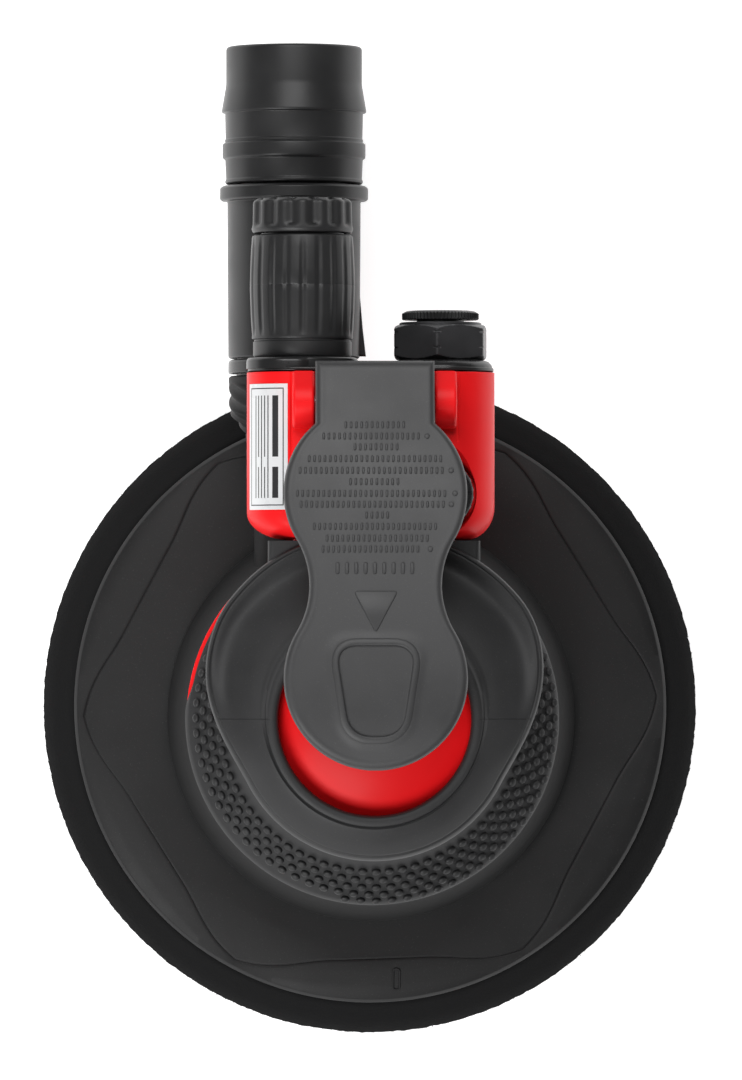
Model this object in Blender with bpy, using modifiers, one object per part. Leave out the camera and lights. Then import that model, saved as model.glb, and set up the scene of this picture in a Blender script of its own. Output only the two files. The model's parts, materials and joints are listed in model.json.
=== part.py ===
"""Palm-grip pneumatic random orbital sander with central dust extraction.

Frame: +Z up, +Y towards the hose end, +X to the right seen from above. The origin is on the
motor axis, in the plane of the sanding face. Lengths below are in millimetres, and MM turns
them into metres where a mesh is made.
"""
import math

import bmesh
import bpy
from mathutils import Matrix, Vector

MM = 0.001
GAP = 0.3                      # clearance between pieces that touch
EPS = 1.0                      # how far a cutter runs past the face it cuts

# ---- pad, turning on an axis one eccentric throw behind the motor axis ----
THROW = 2.5
PAD_R = 75.0
FACING_TOP = 1.2
FOAM_BOTTOM = FACING_TOP + GAP
FOAM_TOP = 9.7
PLATE_BOTTOM = FOAM_TOP + GAP
PLATE_R = 67.9
PLATE_HUB_TOP = 16.5
DUST_HOLES = 6
DUST_HOLE_R = 5.0
DUST_CIRCLE_R = 40.0
STUD_R = 3.9
STUD_BOSS_TOP = 16.8
STUD_TOP = 29.5

# ---- spindle and balancer ----
SPINDLE_BOTTOM = STUD_BOSS_TOP + GAP
SPINDLE_TOP = 36.0
SPINDLE_R = 5.9
BIG_BORE_R = 6.2               # 12 mm bearing bore
BIG_OUTER_R = 14.0             # 28 mm bearing outside
SPINDLE_BEARING = (24.0, 35.0)
BALANCER_BOTTOM = 22.5
BALANCER_TOP = 41.2
BALANCER_CUP_R = 16.8
COUNTERWEIGHT_R = 26.0

# ---- motor stack, bottom to top ----
FRONT_BEARING = (41.8, 49.6)
LOCK_RING = (40.2, 45.4)
FRONT_PLATE = (45.7, 51.0)
CYLINDER = (51.3, 69.3)
ROTOR = (51.7, 68.9)
REAR_PLATE = (69.6, 73.9)
REAR_BEARING = (71.4, 78.4)
SMALL_BORE_R = 4.2             # 8 mm bearing bore
SMALL_OUTER_R = 11.0           # 22 mm bearing outside
STACK_R = 23.0
CYLINDER_BORE_R = 17.3
CYLINDER_OFFSET = 1.5
ROTOR_R = 15.5
VANES = 5
VANE_ROOT_R = 8.6
VANE_THICK = 1.6
ALIGN_PIN_Y = -19.4
ALIGN_PIN_R = 1.2

# ---- motor housing ----
DRUM_R = 26.5
DOME_BASE = 72.0
DOME_TOP = 84.5
FLANGE_R = 41.5
FLANGE = (39.2, 42.0)
THREAD_R = 24.5
CAVITY_R = STACK_R + GAP
CAVITY_TOP = 74.3
POCKET_R = 13.8
POCKET_TOP = 80.9
NECK_HALF = 18.0
NECK_Z = (53.0, 72.0)

# ---- valve block at the rear of the housing ----
BLOCK_X = (-28.3, 27.0)
BLOCK_Y = (39.9, 77.2)
BLOCK_Z = (50.0, 77.0)
BLOCK_TOP_ROUND = 12.0
BLOCK_LOW_ROUND = 5.0
BLOCK_CORNER = 6.5
PORT_Z = 63.0
EXHAUST_X = -15.9
VALVE_X = 14.6
VALVE_Y = 50.0

# ---- throttle lever ----
LEVER_PIN_Y = 70.4
LEVER_PIN_Z = 78.5
LEVER_PIN_R = 1.5
LEVER_REAR_Y = 78.8
LEVER_REAR_HALF = 13.0
LEVER_LOBE_R = 20.25
LEVER_REAR_LOBE_Y = 50.0
LEVER_FRONT_LOBE_Y = 9.0
LEVER_WAIST_HALF = 14.6
LEVER_THICK = 3.6
LEVER_CREST = (2.0, 101.5)     # y and z of the highest point of the lever's top
LEVER_REAR_TOP = 86.5
LEVER_TIP_DROP = 1.9
BOSS_R = 6.0
BOSS_X = (LEVER_REAR_HALF + GAP, 18.2)

# ---- palm grip ----
GRIP_BOTTOM = FLANGE[1] + GAP
HEAD_BLEND = (62.0, 130.0)     # degrees from the front where the head widens
HOLE_R = 21.4
RING_R = 23.4
RING_TOP = 84.0
COLLAR_HALF = 23.6

# ---- dust extraction ----
SHROUD_R = 46.4
SHROUD = (17.6, 38.9)
SHROUD_WALL = 1.8
SPOUT_X = (-26.6, -6.4)
SPOUT_Z = (18.6, 37.6)
SPOUT_END_Y = 62.0
TUBE_X = -17.6
TUBE_Z = 33.0
TUBE_NECK_R = 13.0
TUBE_R = 14.6
TUBE_Y = (71.0, 120.5)
TUBE_COLLAR_R = 16.8
SPIGOT_Y = (104.0, 152.0)
SPIGOT_R = 15.4
SPIGOT_BORE_R = 12.8

# ---- exhaust and inlet ----
MANIFOLD_Y = (77.5, 80.0)
MUFFLER_R = 12.0
MUFFLER_END_Y = 116.5
HEX_ACROSS = 18.5
HEX_Y = (80.3, 88.4)
PLUG_Y = (80.6, 91.1)

BLACK_RUBBER = ((0.020, 0.020, 0.021), 0.62, 0.0)
BLACK_PLASTIC = ((0.015, 0.015, 0.016), 0.45, 0.0)
GREY_FOAM = ((0.035, 0.035, 0.037), 0.95, 0.0)
RED_PAINT = ((0.78, 0.012, 0.022), 0.18, 0.0)
BLACK_OXIDE = ((0.030, 0.030, 0.032), 0.35, 1.0)
BRIGHT_STEEL = ((0.62, 0.62, 0.64), 0.28, 1.0)
ALUMINIUM = ((0.72, 0.73, 0.74), 0.38, 1.0)
CAST_STEEL = ((0.36, 0.36, 0.37), 0.45, 1.0)
WHITE_FELT = ((0.70, 0.69, 0.64), 0.95, 0.0)
SILVER_LABEL = ((0.66, 0.67, 0.68), 0.35, 0.0)
VANE_RESIN = ((0.16, 0.09, 0.04), 0.60, 0.0)
BRASS = ((0.72, 0.50, 0.20), 0.32, 1.0)

AXIS_TURN = {
    "Z": (0.0, 0.0, 0.0),
    "Y": (-math.pi / 2, 0.0, 0.0),
    "X": (0.0, math.pi / 2, 0.0),
}


# ---------------------------------------------------------------- scene helpers
def clear_scene():
    for obj in list(bpy.data.objects):
        bpy.data.objects.remove(obj, do_unlink=True)


def new_collection(name):
    group = bpy.data.collections.new(name)
    bpy.context.scene.collection.children.link(group)
    return group


def make_material(name, finish):
    colour, roughness, metallic = finish
    mat = bpy.data.materials.new(name)
    mat.use_nodes = True
    shader = mat.node_tree.nodes["Principled BSDF"]
    shader.inputs["Base Color"].default_value = (*colour, 1.0)
    shader.inputs["Roughness"].default_value = roughness
    shader.inputs["Metallic"].default_value = metallic
    mat.diffuse_color = (*colour, 1.0)
    return mat


def place(name, data, finish, at=(0, 0, 0), turn=(0, 0, 0)):
    """Make an object: a part with a material, or a cutter when finish is None."""
    obj = bpy.data.objects.new(name, data)
    obj.location = Vector(at) * MM
    obj.rotation_euler = turn
    if finish is None:
        CUTTERS.objects.link(obj)
        obj.hide_render = True
        obj.display_type = "WIRE"
    else:
        PARTS.objects.link(obj)
        data.materials.append(make_material(name, finish))
    return obj


def smooth(mesh):
    mesh.shade_smooth()
    mesh.set_sharp_from_angle(angle=math.radians(35))


def boolean(obj, cutter, operation="DIFFERENCE"):
    mod = obj.modifiers.new(operation.title(), "BOOLEAN")
    mod.operation = operation
    mod.object = cutter
    mod.solver = "EXACT"
    return obj


def cut(obj, *cutters):
    for cutter in cutters:
        boolean(obj, cutter)
    return obj


def join(obj, *others):
    for other in others:
        boolean(obj, other, "UNION")
    return obj


def bevel(obj, width, segments=2, angle=40.0):
    mod = obj.modifiers.new("Bevel", "BEVEL")
    mod.width = width * MM
    mod.segments = segments
    mod.limit_method = "ANGLE"
    mod.angle_limit = math.radians(angle)
    return obj


# ---------------------------------------------------------------- shape helpers
def turned(name, profile, finish=None, at=(0, 0, 0), along="Z", steps=24, spin=0.0):
    """Turn (radius, height) points about an axis. Heights are measured from the origin.

    A profile that starts and ends on the axis is a solid, and any other is a closed ring.
    It runs down the outer side first. A spin, in degrees about the shape's own axis, moves a
    cutter's corners off the edges of the mesh it cuts.
    """
    mesh = bpy.data.meshes.new(name)
    along_x = math.cos(math.radians(spin)) * MM
    along_y = math.sin(math.radians(spin)) * MM
    points = [(r * along_x, r * along_y, h * MM) for r, h in profile]
    edges = [(i, i + 1) for i in range(len(points) - 1)]
    if profile[0][0] > 0.0:
        edges.append((len(points) - 1, 0))
    mesh.from_pydata(points, edges, [])
    obj = place(name, mesh, finish, at, AXIS_TURN[along])
    mod = obj.modifiers.new("Screw", "SCREW")
    mod.angle = math.tau
    mod.steps = steps
    mod.render_steps = steps
    mod.use_merge_vertices = True
    mod.merge_threshold = 0.00001
    mod.use_smooth_shade = True
    return obj


def ring_profile(inner, outer, low, high):
    return [(outer, high), (outer, low), (inner, low), (inner, high)]


def disc_profile(radius, low, high):
    return [(0, high), (radius, high), (radius, low), (0, low)]


def ring(name, inner, outer, low, high, finish=None, **keys):
    return turned(name, ring_profile(inner, outer, low, high), finish, **keys)


def rod(name, radius, low, high, finish=None, **keys):
    return turned(name, disc_profile(radius, low, high), finish, **keys)


def box(name, x, y, z, finish=None):
    """A box from three (low, high) pairs."""
    centre = Vector(((x[0] + x[1]) / 2, (y[0] + y[1]) / 2, (z[0] + z[1]) / 2))
    size = Vector((x[1] - x[0], y[1] - y[0], z[1] - z[0]))
    bm = bmesh.new()
    bmesh.ops.create_cube(bm, size=1.0)
    bmesh.ops.scale(bm, vec=size * MM, verts=bm.verts)
    mesh = bpy.data.meshes.new(name)
    bm.to_mesh(mesh)
    bm.free()
    return place(name, mesh, finish, centre)


def circle(radius, centre=(0.0, 0.0), count=24, start=0.0):
    """Points round a circle, in order, from a start angle in degrees."""
    first = math.radians(start)
    angles = [first + math.tau * i / count for i in range(count)]
    return [(centre[0] + radius * math.cos(a), centre[1] + radius * math.sin(a)) for a in angles]


def arc(radius, centre, first, last, count):
    """Points along an arc between two angles in degrees, both ends included."""
    angles = [math.radians(first + (last - first) * i / (count - 1)) for i in range(count)]
    return [(centre[0] + radius * math.cos(a), centre[1] + radius * math.sin(a)) for a in angles]


def rounded(x, y, low_r, high_r, count=5):
    """A rectangle with one corner radius at its low y edge and one at its high y edge."""
    corners = (
        arc(high_r, (x[1] - high_r, y[1] - high_r), 0, 90, count),
        arc(high_r, (x[0] + high_r, y[1] - high_r), 90, 180, count),
        arc(low_r, (x[0] + low_r, y[0] + low_r), 180, 270, count),
        arc(low_r, (x[1] - low_r, y[0] + low_r), 270, 360, count),
    )
    return [point for corner in corners for point in corner]


def open_ring(inner, outer, gap_angle, middle, centre=(0.0, 0.0), count=14):
    """The outline of a retaining ring with a gap centred on the middle angle."""
    first = middle + gap_angle / 2
    last = middle + 360 - gap_angle / 2
    return arc(outer, centre, first, last, count) + arc(inner, centre, last, first, count)


def prism(name, outlines, low, high, finish=None, along="Z", at=(0, 0)):
    """Extrude flat outlines, the first one outside and the rest holes, as a mesh object.

    Outlines are (x, y) along Z and (x, z) along Y.
    """
    curve = bpy.data.curves.new(name, "CURVE")
    curve.dimensions = "2D"
    curve.fill_mode = "BOTH"
    curve.extrude = (high - low) / 2 * MM
    for outline in outlines:
        spline = curve.splines.new("POLY")
        spline.points.add(len(outline) - 1)
        for point, (u, v) in zip(spline.points, outline):
            point.co = ((u + at[0]) * MM, (v + at[1]) * MM, 0.0, 1.0)
        spline.use_cyclic_u = True
    middle = (low + high) / 2
    if along == "Z":
        return solid(name, curve, (0, 0, middle), (0, 0, 0), finish)
    return solid(name, curve, (0, middle, 0), (math.pi / 2, 0, 0), finish)


def solid(name, curve, at, turn, finish):
    """Turn a curve into a welded mesh object and drop the curve."""
    guide = bpy.data.objects.new(name + "_curve", curve)
    bpy.context.scene.collection.objects.link(guide)
    guide.location = Vector(at) * MM
    guide.rotation_euler = turn
    depsgraph = bpy.context.evaluated_depsgraph_get()
    mesh = bpy.data.meshes.new_from_object(guide.evaluated_get(depsgraph))
    bm = bmesh.new()
    bm.from_mesh(mesh)
    bmesh.ops.remove_doubles(bm, verts=bm.verts, dist=0.000001)
    bm.to_mesh(mesh)
    bm.free()
    mesh.name = name
    matrix = guide.matrix_world.copy()
    bpy.data.objects.remove(guide, do_unlink=True)
    bpy.data.curves.remove(curve)
    obj = place(name, mesh, finish)
    obj.matrix_world = matrix
    return obj


def loft(name, rings, finish=None):
    """Skin closed rings of equal point counts, capped at both ends."""
    bm = bmesh.new()
    rows = [[bm.verts.new(Vector(point) * MM) for point in ring_points] for ring_points in rings]
    count = len(rows[0])
    for lower, upper in zip(rows, rows[1:]):
        for i in range(count):
            j = (i + 1) % count
            bm.faces.new((lower[i], lower[j], upper[j], upper[i]))
    bm.faces.new(list(reversed(rows[0])))
    bm.faces.new(rows[-1])
    bmesh.ops.recalc_face_normals(bm, faces=bm.faces)
    mesh = bpy.data.meshes.new(name)
    bm.to_mesh(mesh)
    bm.free()
    smooth(mesh)
    return place(name, mesh, finish)


def axis_empty(name, at, objects):
    """Put an empty on a joint's axis and hang the moving pieces on it, unmoved."""
    empty = bpy.data.objects.new(name, None)
    PARTS.objects.link(empty)
    empty.location = Vector(at) * MM
    bpy.context.view_layer.update()
    for obj in objects:
        obj.parent = empty
        obj.matrix_parent_inverse = empty.matrix_world.inverted()
    return empty


def ball_cage(name, race_r, middle, ball_r, count, finish, at=(0, 0, 0)):
    """A bearing's balls in their cage, as one piece."""
    half = ball_r * 0.45
    cage = ring(name, race_r - half, race_r + half, middle - half, middle + half, finish, at=at,
                steps=2 * count)
    for index in range(count):
        turn = math.tau * (index + 0.5) / count
        bm = bmesh.new()
        bmesh.ops.create_icosphere(bm, subdivisions=1, radius=ball_r * MM)
        mesh = bpy.data.meshes.new(f"{name}_ball_{index}")
        bm.to_mesh(mesh)
        bm.free()
        spot = (at[0] + race_r * math.cos(turn), at[1] + race_r * math.sin(turn), at[2] + middle)
        join(cage, place(mesh.name, mesh, None, spot))
    return cage


# ---------------------------------------------------------------- pad
PAD_AT = (0, THROW, 0)


def dust_hole_centres():
    return circle(DUST_CIRCLE_R, count=DUST_HOLES, start=30.0)


def make_hook_facing():
    holes = [circle(DUST_HOLE_R, spot, 12) for spot in dust_hole_centres()]
    return prism("hook_facing", [circle(PAD_R, count=40)] + holes, 0.0, FACING_TOP, BLACK_RUBBER,
                 at=(0, THROW))


def dust_cutters(prefix, low, high):
    return [rod(f"{prefix}_hole_{index}", DUST_HOLE_R, low, high, at=(x, y + THROW, 0), steps=12,
                spin=8.0)
            for index, (x, y) in enumerate(dust_hole_centres())]


def make_pad_foam():
    profile = [(0, FOAM_TOP), (66.6, FOAM_TOP), (68.4, FOAM_TOP - 0.6), (73.2, 4.6),
               (PAD_R, FOAM_BOTTOM), (0, FOAM_BOTTOM)]
    foam = turned("pad_foam", profile, GREY_FOAM, PAD_AT, steps=40)
    return cut(foam, *dust_cutters("foam", FOAM_BOTTOM - EPS, FOAM_TOP + EPS))


def make_pad_plate():
    flange_r = 14.0 + GAP
    bore_r = 6.0 + GAP
    profile = [(bore_r, PLATE_HUB_TOP), (16.0, PLATE_HUB_TOP), (18.5, 14.6), (58.0, 13.0),
               (PLATE_R - 1.0, 11.6), (PLATE_R, PLATE_BOTTOM), (flange_r, PLATE_BOTTOM),
               (flange_r, 12.8), (bore_r, 12.8)]
    plate = turned("pad_backing_plate", profile, BLACK_PLASTIC, PAD_AT, steps=40)
    return cut(plate, *dust_cutters("plate", PLATE_BOTTOM - EPS, PLATE_HUB_TOP))


def make_pad_stud():
    profile = [(0, STUD_TOP), (STUD_R - 0.6, STUD_TOP), (STUD_R, STUD_TOP - 0.6),
               (STUD_R, STUD_BOSS_TOP), (6.0, STUD_BOSS_TOP), (6.0, 12.5), (14.0, 12.5),
               (14.0, PLATE_BOTTOM + GAP), (0, PLATE_BOTTOM + GAP)]
    return turned("pad_stud", profile, BRIGHT_STEEL, PAD_AT, steps=20)


def make_spindle():
    socket_r = STUD_R + GAP
    profile = [(0, SPINDLE_TOP), (SPINDLE_R - 0.8, SPINDLE_TOP), (SPINDLE_R, SPINDLE_TOP - 0.8),
               (SPINDLE_R, 22.6), (9.0, 22.6), (9.0, SPINDLE_BOTTOM), (socket_r, SPINDLE_BOTTOM),
               (socket_r, 30.5), (0, 31.5)]
    spindle = turned("spindle", profile, BRIGHT_STEEL, PAD_AT, steps=20)
    flats = [box(f"spindle_flat_{side}", (side * 10.25 - 2, side * 10.25 + 2), (-10, 15), (18, 22))
             for side in (-1, 1)]
    return cut(spindle, *flats)


# ---------------------------------------------------------------- bearings
def make_bearing(prefix, radii, heights, balls, at=(0, 0, 0)):
    """Return the inner ring, the outer ring and the caged balls of one bearing."""
    inner, outer = radii
    span = outer - inner
    inner_land = inner + span * 0.27
    outer_land = outer - span * 0.27
    race_r = (inner_land + outer_land) / 2
    ball_r = (outer_land - inner_land) / 2 - 0.15
    low, high = heights
    inner_ring = ring(f"{prefix}_inner_ring", inner, inner_land, low, high, BRIGHT_STEEL, at=at)
    outer_ring = ring(f"{prefix}_outer_ring", outer_land, outer, low, high, BRIGHT_STEEL, at=at)
    cage = ball_cage(f"{prefix}_ball_cage", race_r, (low + high) / 2, ball_r, balls, BRASS, at)
    return inner_ring, outer_ring, cage


# ---------------------------------------------------------------- rotor group
def make_balancer():
    profile = [(0, 80.3), (3.2, 80.3), (3.2, 78.7), (4.0, 78.7), (4.0, CYLINDER[1]),
               (5.0, CYLINDER[1]), (5.0, 49.9), (SPINDLE_R, 49.9), (SPINDLE_R, BALANCER_TOP),
               (15.0, BALANCER_TOP), (15.0, 33.0), (0, 33.0)]
    shaft = turned("shaft_balancer", profile, CAST_STEEL, steps=24)
    cup = rod("balancer_cup", BALANCER_CUP_R, BALANCER_BOTTOM, 37.5, at=PAD_AT)
    outline = arc(COUNTERWEIGHT_R, (0, 0), 200, 340, 13) + [(8, -2), (-8, -2)]
    weight = prism("balancer_weight", [outline], 24.0, 36.0)
    bore = rod("balancer_bore", BIG_OUTER_R + GAP, BALANCER_BOTTOM - EPS, 35.3, at=PAD_AT,
               spin=4.0)
    relief = rod("balancer_relief", 8.5, 34.0, 37.6, at=PAD_AT, steps=16, spin=5.0)
    keyway = box("shaft_keyway", (3.3, 6.0), (-1.3, 1.3), (54.7, 65.3))
    join(shaft, cup, weight)
    return cut(shaft, bore, relief, keyway)


def make_spindle_clip():
    outline = open_ring(10.6, BIG_OUTER_R, 30, 90)
    return prism("spindle_retaining_ring", [outline], 22.8, 23.7, BRIGHT_STEEL, at=(0, THROW))


def make_rotor():
    rotor = ring("rotor", 5.0 + GAP, ROTOR_R, ROTOR[0], ROTOR[1], ALUMINIUM, steps=40)
    keyway = box("rotor_keyway", (4.0, 6.9), (-1.3, 1.3), (54.7, 65.3))
    cut(rotor, keyway)
    half = VANE_THICK / 2 + GAP
    for index in range(VANES):
        slot = box(f"vane_slot_{index}", (VANE_ROOT_R - 0.4, ROTOR_R + EPS), (-half, half),
                   (ROTOR[0] - EPS, ROTOR[1] + EPS))
        spin_about_motor(slot, vane_angle(index))
        cut(rotor, slot)
    return rotor


def vane_angle(index):
    return math.radians(36.0 + 360.0 * index / VANES)


def spin_about_motor(obj, angle):
    obj.matrix_world = Matrix.Rotation(angle, 4, "Z") @ Matrix.Translation(obj.location)


def make_vane(index):
    half = VANE_THICK / 2
    vane = box(f"rotor_vane_{index + 1}", (VANE_ROOT_R, ROTOR_R - 0.2), (-half, half),
               (ROTOR[0] + 0.2, ROTOR[1] - 0.2), VANE_RESIN)
    spin_about_motor(vane, vane_angle(index))
    return vane


def make_rotor_key():
    return box("rotor_key", (3.6, 6.6), (-1.0, 1.0), (55.0, 65.0), BRIGHT_STEEL)


def make_shaft_clip():
    outline = open_ring(3.5, 6.0, 50, 0, count=10)
    return prism("shaft_retaining_ring", [outline], 79.0, 79.9, BRIGHT_STEEL)


# ---------------------------------------------------------------- motor stack
def make_lock_ring():
    body = ring("lock_ring", 17.7, THREAD_R - GAP, LOCK_RING[0], LOCK_RING[1], ALUMINIUM)
    slots = [box("lock_slot_x", (-26, 26), (-2, 2), (39.0, 41.4)),
             box("lock_slot_y", (-2, 2), (-26, 26), (39.0, 41.4))]
    return cut(body, *slots)


def make_front_end_plate():
    pocket_r = BIG_OUTER_R + GAP
    low, high = FRONT_PLATE
    profile = [(7.0, high), (STACK_R, high), (STACK_R, 47.6), (21.2, 47.6), (21.2, low),
               (16.8, low), (16.8, 41.5), (pocket_r, 41.5), (pocket_r, 49.9), (7.0, 49.9)]
    plate = turned("front_end_plate", profile, ALUMINIUM, steps=24)
    return cut(plate, align_hole("front_plate_pin_hole", 47.9, high + EPS))


def make_rear_end_plate():
    low, high = REAR_PLATE
    profile = [(13.4, 79.4), (13.4, high), (STACK_R, high), (STACK_R, low), (4.7, low),
               (4.7, 71.1), (SMALL_OUTER_R + GAP, 71.1), (SMALL_OUTER_R + GAP, 79.4)]
    plate = turned("rear_end_plate", profile, ALUMINIUM, steps=24)
    return cut(plate, align_hole("rear_plate_pin_hole", low - EPS, high + EPS))


def align_hole(name, low, high):
    return rod(name, ALIGN_PIN_R + GAP, low, high, at=(0, ALIGN_PIN_Y, 0), steps=10)


def make_cylinder():
    low, high = CYLINDER
    barrel = rod("motor_cylinder", STACK_R, low, high, CAST_STEEL, steps=30)
    bore = rod("cylinder_bore", CYLINDER_BORE_R, low - EPS, high + EPS, at=(0, CYLINDER_OFFSET, 0),
               steps=30)
    exhausts = [box(f"exhaust_slot_{index}", (-12, -6), (12, 26), (z - 1.2, z + 1.2))
                for index, z in enumerate((57.0, 61.0, 65.0))]
    inlets = [rod(f"inlet_port_{index}", 1.7, 12, 26, at=(9.5, 0, z), along="Y", steps=10)
              for index, z in enumerate((58.5, 65.5))]
    return cut(barrel, bore, align_hole("cylinder_pin_hole", low - EPS, high + EPS),
               *exhausts, *inlets)


def make_align_pin():
    return rod("alignment_pin", ALIGN_PIN_R, 48.2, 73.6, BRIGHT_STEEL, at=(0, ALIGN_PIN_Y, 0),
               steps=10)


def make_motor_seal():
    section = circle(0.8, (22.2, 46.65), 6)
    section.reverse()
    return turned("motor_o_ring", section, BLACK_RUBBER, steps=24)


# ---------------------------------------------------------------- housing
def dome_profile(grow=0.0, inner=0.0, count=6):
    """The elliptical shoulder from an inner radius out to the drum's side."""
    side = DRUM_R + grow
    rise = DOME_TOP - DOME_BASE + grow
    first = math.acos(inner / side)
    angles = [first * (1 - i / (count - 1)) for i in range(count)]
    return [(side * math.cos(a), DOME_BASE + rise * math.sin(a)) for a in angles]


def block_outline(grow=0.0):
    x = (BLOCK_X[0] - grow, BLOCK_X[1] + grow)
    z = (BLOCK_Z[0] - grow, BLOCK_Z[1] + grow)
    return rounded(x, z, BLOCK_LOW_ROUND + grow, BLOCK_TOP_ROUND + grow)


def make_valve_block():
    """The rounded block behind the drum, as a solid to join to it."""
    block = prism("valve_block", [block_outline()], BLOCK_Y[0], BLOCK_Y[1], along="Y")
    plan = rounded((BLOCK_X[0] - 2, BLOCK_X[1] + 2), (BLOCK_Y[0], BLOCK_Y[1] + 9),
                   BLOCK_CORNER + 2, 2.0)
    plan_solid = prism("valve_block_plan", [plan], BLOCK_Z[0] - 2, BLOCK_Z[1] + 2)
    return boolean(block, plan_solid, "INTERSECT")


def make_housing():
    thread_low, flange_top = FLANGE
    profile = [*dome_profile(), (DRUM_R, flange_top + 3.0), (DRUM_R + 3.0, flange_top),
               (FLANGE_R, flange_top), (FLANGE_R, thread_low + 0.6), (FLANGE_R - 0.6, thread_low),
               (0, thread_low)]
    housing = turned("motor_housing", profile, RED_PAINT, steps=36)
    neck = box("housing_neck", (-NECK_HALF, NECK_HALF), (15.0, 46.0), NECK_Z)
    bosses = [rod(f"pivot_boss_{side}", BOSS_R, *sorted((side * BOSS_X[0], side * BOSS_X[1])),
                  at=(0, LEVER_PIN_Y, LEVER_PIN_Z), along="X", steps=20)
              for side in (-1, 1)]
    cheeks = [box(f"pivot_cheek_{side}", sorted((side * BOSS_X[0], side * BOSS_X[1])),
                  (LEVER_PIN_Y, BLOCK_Y[1]), (70.0, LEVER_PIN_Z + BOSS_R - 0.1))
              for side in (-1, 1)]
    join(housing, neck, make_valve_block(), *bosses, *cheeks)
    return cut(housing, *motor_cavity_cutters(), *valve_cutters(), *screw_holes("block"))


def motor_cavity_cutters():
    stack = [(0, POCKET_TOP), (POCKET_R, POCKET_TOP), (POCKET_R, CAVITY_TOP), (CAVITY_R, CAVITY_TOP),
             (CAVITY_R, 45.7), (THREAD_R, 45.7), (THREAD_R, FLANGE[0] - EPS), (0, FLANGE[0] - EPS)]
    return [turned("motor_cavity", stack, steps=32)]


def valve_cutters():
    rear = BLOCK_Y[1] + EPS
    return [
        rod("exhaust_chamber", 7.6, 50.0, rear, at=(EXHAUST_X, 0, PORT_Z), along="Y", steps=20),
        rod("exhaust_passage", 5.0, 16.0, 55.0, at=(-10, 0, PORT_Z), along="Y", steps=14),
        rod("inlet_bore", 8.2, 65.2, rear, at=(VALVE_X, 0, PORT_Z), along="Y", steps=20),
        rod("seat_bore", 6.0, 61.2, 66.0, at=(VALVE_X, 0, PORT_Z), along="Y", steps=18),
        rod("stem_bore", 4.5, 50.0, 62.0, at=(VALVE_X, 0, PORT_Z), along="Y", steps=14),
        rod("feed_passage", 3.4, 16.0, 50.0, at=(10, 0, PORT_Z), along="Y", steps=12),
        rod("regulator_bore", 6.0, 56.4, 72.0, at=(VALVE_X, VALVE_Y, 0), steps=20),
        rod("regulator_clip_groove", 7.3, 69.0, 70.4, at=(VALVE_X, VALVE_Y, 0), steps=20),
        rod("regulator_recess", 10.1, 71.0, 90.0, at=(VALVE_X, VALVE_Y, 0), steps=28),
        box("lever_pocket", (-BOSS_X[0], BOSS_X[0]), (63.5, 79.0), (73.4, 90.0)),
        rod("pivot_hole", LEVER_PIN_R + GAP, -20.0, 20.0, at=(0, LEVER_PIN_Y, LEVER_PIN_Z),
            along="X", steps=12),
    ]


def screw_spots():
    return [(-1.0, 56.0), (-1.0, 69.5)]


def screw_holes(prefix):
    return [rod(f"{prefix}_screw_hole_{index}", 2.2, 66.0, 84.0, at=(x, 0, z), along="Y", steps=10)
            for index, (x, z) in enumerate(screw_spots())]


# ---------------------------------------------------------------- palm grip
def smoothstep(value):
    value = min(1.0, max(0.0, value))
    return value * value * (3.0 - 2.0 * value)


def grip_ring(front, rear, count=32):
    """One level of the grip, from its (radius, height) in front and beside the valve block."""
    first, last = HEAD_BLEND
    points = []
    for index in range(count):
        turn = 360.0 * index / count
        from_front = min(turn, 360.0 - turn)
        share = smoothstep((from_front - first) / (last - first))
        radius = front[0] + (rear[0] - front[0]) * share
        height = front[1] + (rear[1] - front[1]) * share
        angle = math.radians(turn - 90.0)
        points.append((radius * math.cos(angle), radius * math.sin(angle), height))
    return points


def make_grip():
    foot = [(41.0, GRIP_BOTTOM), (40.8, 43.6), (37.6, 46.5), (33.2, 50.5), (30.2, 55.0)]
    head = [
        ((29.4, 59.5), (29.6, 58.5)),
        ((29.6, 64.0), (31.8, 62.5)),
        ((30.3, 69.0), (36.0, 66.5)),
        ((31.2, 73.0), (40.4, 70.0)),
        ((31.6, 75.8), (42.1, 73.0)),
        ((31.2, 77.6), (41.6, 74.9)),
        ((29.8, 79.2), (40.0, 75.4)),
        ((27.6, 81.3), (35.5, 76.2)),
        ((25.4, 83.0), (29.5, 79.6)),
        ((24.2, 83.7), (25.0, 83.0)),
        ((RING_R, RING_TOP), (RING_R, RING_TOP)),
    ]
    levels = [grip_ring(point, point) for point in foot]
    levels += [grip_ring(front, rear) for front, rear in head]
    grip = loft("palm_grip", levels, BLACK_RUBBER)
    collar = box("grip_collar", (-COLLAR_HALF, COLLAR_HALF), (18.0, 41.0), (50.0, 74.0))
    join(grip, bevel(collar, 2.0))
    inside = [*dome_profile(GAP, HOLE_R, 5), (DRUM_R + GAP, FLANGE[1] + 3.3),
              (DRUM_R + 3.6, FLANGE[1]), (DRUM_R + 3.6, 41.0), (0, 41.0), (0, 90.0), (HOLE_R, 90.0)]
    drum_space = turned("grip_inside", inside[-2:] + inside[:-2], steps=36)
    neck_space = box("grip_neck_space", (-NECK_HALF - GAP, NECK_HALF + GAP), (14.0, 48.0),
                     (NECK_Z[0] - GAP, NECK_Z[1] + GAP))
    block_space = box("grip_block_space", (-50, 50), (BLOCK_Y[0] - GAP, 60.0), (44.0, 92.0))
    return cut(grip, drum_space, neck_space, block_space)


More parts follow.
